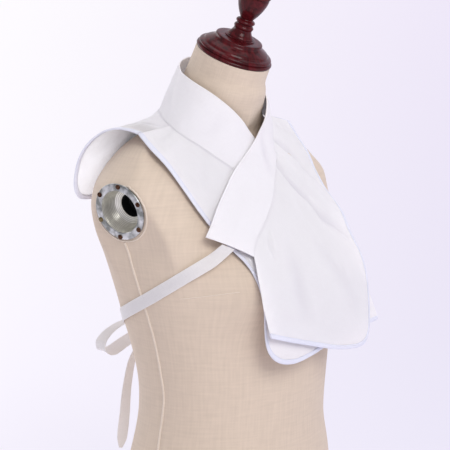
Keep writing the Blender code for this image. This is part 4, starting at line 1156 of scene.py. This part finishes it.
# Arm sockets
for side, word in ((-1, "right"), (1, "left")):
    at = socket_frame(side)
    plate = turned(f"arm_plate_{word}", softened(SOCKET_PROFILE, SOCKET_SOFTENING), at, steel, 30)
    plate.data.materials.append(bowl_steel)
    plate.data.materials.append(dark)
    inverse = at.inverted()
    # Faces deep in the hole get the near black painted shade, those of the bowl the spun steel
    for face in plate.data.polygons:
        local = 1000 * (inverse @ face.center)
        place = (math.hypot(local.x, local.y), local.z)
        if place[0] < HOLE_ZONE[0] and place[1] < HOLE_ZONE[1]:
            face.material_index = 2
        elif place[0] < BOWL_ZONE[0] and place[1] < BOWL_ZONE[1]:
            face.material_index = 1
    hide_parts(f"arm_socket_{word}")
    for k in range(SCREW_COUNT):
        turn = Matrix.Rotation(2 * math.pi * k / SCREW_COUNT + math.radians(SCREW_TURN), 4, "Z")
        seat = at @ turn @ Matrix.Translation((SCREW_CIRCLE, 0, 0))
        look = brass if k == BRASS_SCREW else rusty
        head = turned(f"plate_screw_{word}_{k + 1}", SCREW_PROFILE, seat, look)
        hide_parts(f"socket_screw_{word}_{k + 1}")
    out = np.array(at.to_3x3().col[2])
    lip, sides = [], []
    for t in np.linspace(0, 2 * math.pi, LIP_SIDES + 1):
        over = at @ Vector((LIP_CIRCLE * math.cos(t), LIP_CIRCLE * math.sin(t), LIP_UP))
        lip.append(np.array(skin_tree.find_nearest(over)[0]))
        off = lip[-1] - np.array(at.translation)
        sides.append(unit(off - out * (off @ out)))
    cord(f"plate_lip_{word}", lip, sides, [out] * len(lip), LIP_RADIUS, piping)

# The collar: each panel's key, piece, node, look, creases, seed, strength of the painted shade along its seam, and
# its binding's seed
PANELS = (
    ("under", "front_right_cloth", "front_right", lit_front_cotton, UNDER_CREASES, 3.3, 0.6, 1.5),
    ("over", "front_left_cloth", "front_left", lit_front_cotton, OVER_CREASES, 11.7, 0.25, 2.5),
    ("back", "back_cloth", "back_panel", cape_cotton, BACK_CREASES, 23.1, 0.6, 3.5),
)
grids = garment_grids()
panels = {}
for key, _, _, _, creases, seed, painted_seam_shade, _ in PANELS:
    cloth = fine(grids[key], COTTON_WALL)
    soft = uneven(cloth, 0.02, (0.0006, 0.05, 0.035, seed), (0.0003, 0.018, 0.012, seed + 50))
    rise = crease_rise(cloth, creases)
    step = 0.00022 * np.clip(1 - cloth.across / 0.008, 0, 1) ** 2
    # Painted shade: a thin grey line along the seam to the band, and grey in the creases' troughs
    painted_seam_line = painted_seam_shade * np.clip(2 - cloth.across / 0.0012, 0, 1)
    tone = np.maximum(np.clip(-rise / 0.006, 0, 1), painted_seam_line[None, :])
    panels[key] = (lifted(cloth, soft + rise + step[None, :]), tone)
band = fine(grids["band"], BAND_THICK)
rise = crease_rise(band, BAND_CREASES)
band = lifted(band, uneven(band, 0.012, (0.0005, 0.06, 0.03, 5.5), (0.0003, 0.02, 0.012, 61.0)) + rise)
# The band is painted greyer in its creases' troughs: painted shade
band_piece = thick("band_cloth", band, BAND_THICK, cotton, np.clip(-rise / 0.004, 0, 1))
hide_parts("collar_band")
band_inside = band.points[:, int(np.searchsorted(band.across, band.across[-1] - BAND_INSIDE))]
lines = []
for key, name, node, look, _, _, _, bias_seed in PANELS:
    cloth, tone = panels[key]
    closed = overlapped(cloth, SEAM_LAP, SEAM_LAP if key == "back" else 0)
    piece = thick(name, sewn_in(closed, band_inside), COTTON_WALL, look, tone)
    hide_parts(node)
    strip = bound(f"bias_{key}", cloth, bias, bias_seed)
    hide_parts(f"binding_{node.replace('_panel', '')}")
    width, length, area, below = CUTS[key]
    for side in (1, -1):
        lines.append(beside(cloth, BIND_WIDTH - BIND_STITCH, COTTON_WALL + 2.1 * BIND_THICK, side))
for side in (1, -1):
    lines.append(beside(band, TOP_STITCH, BAND_THICK, side, False))
    lines.append(beside(band, SEAM_STITCH, BAND_THICK, side))
sewing = stitched("stitches", lines, thread)

# Ties and bow
tapes = {}
for name in ("tie_right", "tie_left"):
    cloth = fine(grids[name], TAPE_THICK, TIE_STEP)
    cloth = lifted(cloth, uneven(cloth, 0.004, (0.0003, 0.03, 0.02, 8.8)))
    tapes[name] = thick(f"{name}_tape", cloth, TAPE_THICK, tape)
for name, ribbon, count in (
    ("bow_loop_right", LOOP_RIGHT, LOOP_STATIONS), ("bow_loop_left", LOOP_LEFT, LOOP_STATIONS),
    ("bow_tail_right", TAIL_RIGHT, TAIL_STATIONS), ("bow_tail_left", TAIL_LEFT, TAIL_STATIONS),
):
    cloth = fine(ribbon_grid(BOW_MIDDLE, ribbon, count), TAPE_THICK, BOW_STEP)
    tapes[name] = thick(f"{name}_tape", cloth, TAPE_THICK, tape)
rings = []
for a in np.linspace(-0.49 * math.pi, 0.49 * math.pi, 33):
    ring = []
    for b in np.linspace(0, 2 * math.pi, 48, endpoint=False):
        v = np.array([math.sin(a), math.cos(a) * math.cos(b), math.cos(a) * math.sin(b)])
        v = v / (np.abs(v) ** 3).sum() ** (1 / 3)
        fold = 1 + 0.05 * math.sin(9 * a + 1.3 * math.sin(b)) + 0.04 * noise.noise(Vector(v * 3.0))
        ring.append(np.array(BOW_MIDDLE) + v * fold * np.array(KNOT_SIZE) * 0.43)
    rings.append(ring)
tapes["bow_knot"] = tube("bow_knot_tape", rings, tape)
for name, piece in tapes.items():
    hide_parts(name)

# Camera
CAMERA_DISTANCE = 2.0
towards = Vector((-0.7595, -0.6373, 0.1305)).normalized()
right = Vector((0.643, -0.766, 0)).normalized()
up = towards.cross(right)
target = Vector((-0.0053, 0.0063, 0.440))
lens = bpy.data.cameras.new("camera")
lens.lens = 126
lens.sensor_width = 36
camera = linked("camera", lens)
axes = Matrix((right, up, towards)).transposed().to_4x4()
camera.matrix_world = Matrix.Translation(target + towards * CAMERA_DISTANCE) @ axes
bpy.context.scene.camera = camera

# Floor and backdrop: painted light, a glow of the backdrop's own, brighter at the left and further up, darker and
# more lavender at the right; its colours low and high, each at the left and the right
PAINTED_BACKDROP_LIGHT = [((0.945, 0.91, 1.0), (0.765, 0.735, 0.885)), ((1.04, 1.02, 1.04), (0.88, 0.823, 0.965))]
BACKDROP_GLOW = 0.80
floor_look, floor_tree, floor_shader = shader(
    "glowing_backdrop", 1.0, Base_Color=(0.22, 0.215, 0.225, 1), Specular_IOR_Level=0, Emission_Strength=BACKDROP_GLOW
)
away = Vector((0.766, 0.643, 0)).normalized()
place = add(floor_tree, "TexCoord", out="Object")
shares = []
for direction, low, high in ((right, -0.6, 0.6), ((away + Vector((0, 0, 1))).normalized(), 0.35, 2.3)):
    along = add(floor_tree, "VectorMath", {0: place, 1: tuple(direction)}, "Value", operation="DOT_PRODUCT")
    shares.append(ranged(floor_tree, along, low, high))
corners = [blend(floor_tree, shares[0], *pair) for pair in PAINTED_BACKDROP_LIGHT]
floor_tree.links.new(blend(floor_tree, shares[1], *corners), floor_shader.inputs["Emission Color"])
# The backdrop is seen through from behind, so that it hides no side of the part
behind = add(floor_tree, "NewGeometry", out="Backfacing")
clear = add(floor_tree, "BsdfTransparent")
seen = add(floor_tree, "MixShader", {0: behind, 1: floor_shader.outputs["BSDF"], 2: clear})
floor_tree.links.new(seen, floor_tree.nodes["Material Output"].inputs["Surface"])
# Its line: how far away and how high
sweep = [(-4.0, 0.0), (1.2, 0.0)]
sweep += [(1.2 + 1.5 * math.sin(a), 1.5 - 1.5 * math.cos(a)) for a in np.linspace(0, math.pi / 2, 24)]
sweep += [(2.7, 5.0)]
grid = np.array([[tuple(away * d + right * w + Vector((0, 0, h))) for w in (-5.0, 5.0)] for d, h in sweep])
points, quads = sheet(grid)
mesh = bpy.data.meshes.new("backdrop")
mesh.from_pydata(points, [], quads)
mesh.shade_smooth()
mesh.materials.append(floor_look)
backdrop = linked("backdrop", mesh)

# Lights, placed by the camera's own directions from the part's middle
LIGHTS = [
    Light("key", 2.0, 0.8, 1.0, 1.2, 28, (1.0, 0.99, 0.985)),
    Light("top", 0.0, 0.4, 2.0, 1.4, 6.6, (0.98, 0.98, 1.0)),
    Light("behind_left", -0.8, -1.6, 0.8, 1.2, 9.4, (0.99, 0.985, 1.0)),
    Light("right", 0.3, 2.1, 0.3, 1.4, 4.3, (0.98, 0.98, 1.0)),
]
for light in LIGHTS:
    area = bpy.data.lights.new(light.name, "AREA")
    area.size = light.size
    area.energy = light.power
    area.color = light.colour
    lamp = linked(light.name, area)
    lamp.location = target + towards * light.ahead + right * light.aside + up * light.above
    lamp.rotation_euler = (lamp.location - target).to_track_quat("Z", "Y").to_euler()
world = bpy.data.worlds.new("soft_surround")
world.use_nodes = True
world.node_tree.nodes["Background"].inputs["Color"].default_value = (0.93, 0.92, 1.0, 1)
world.node_tree.nodes["Background"].inputs["Strength"].default_value = 0.45
bpy.context.scene.world = world
bpy.context.scene.view_settings.view_transform = "Standard"
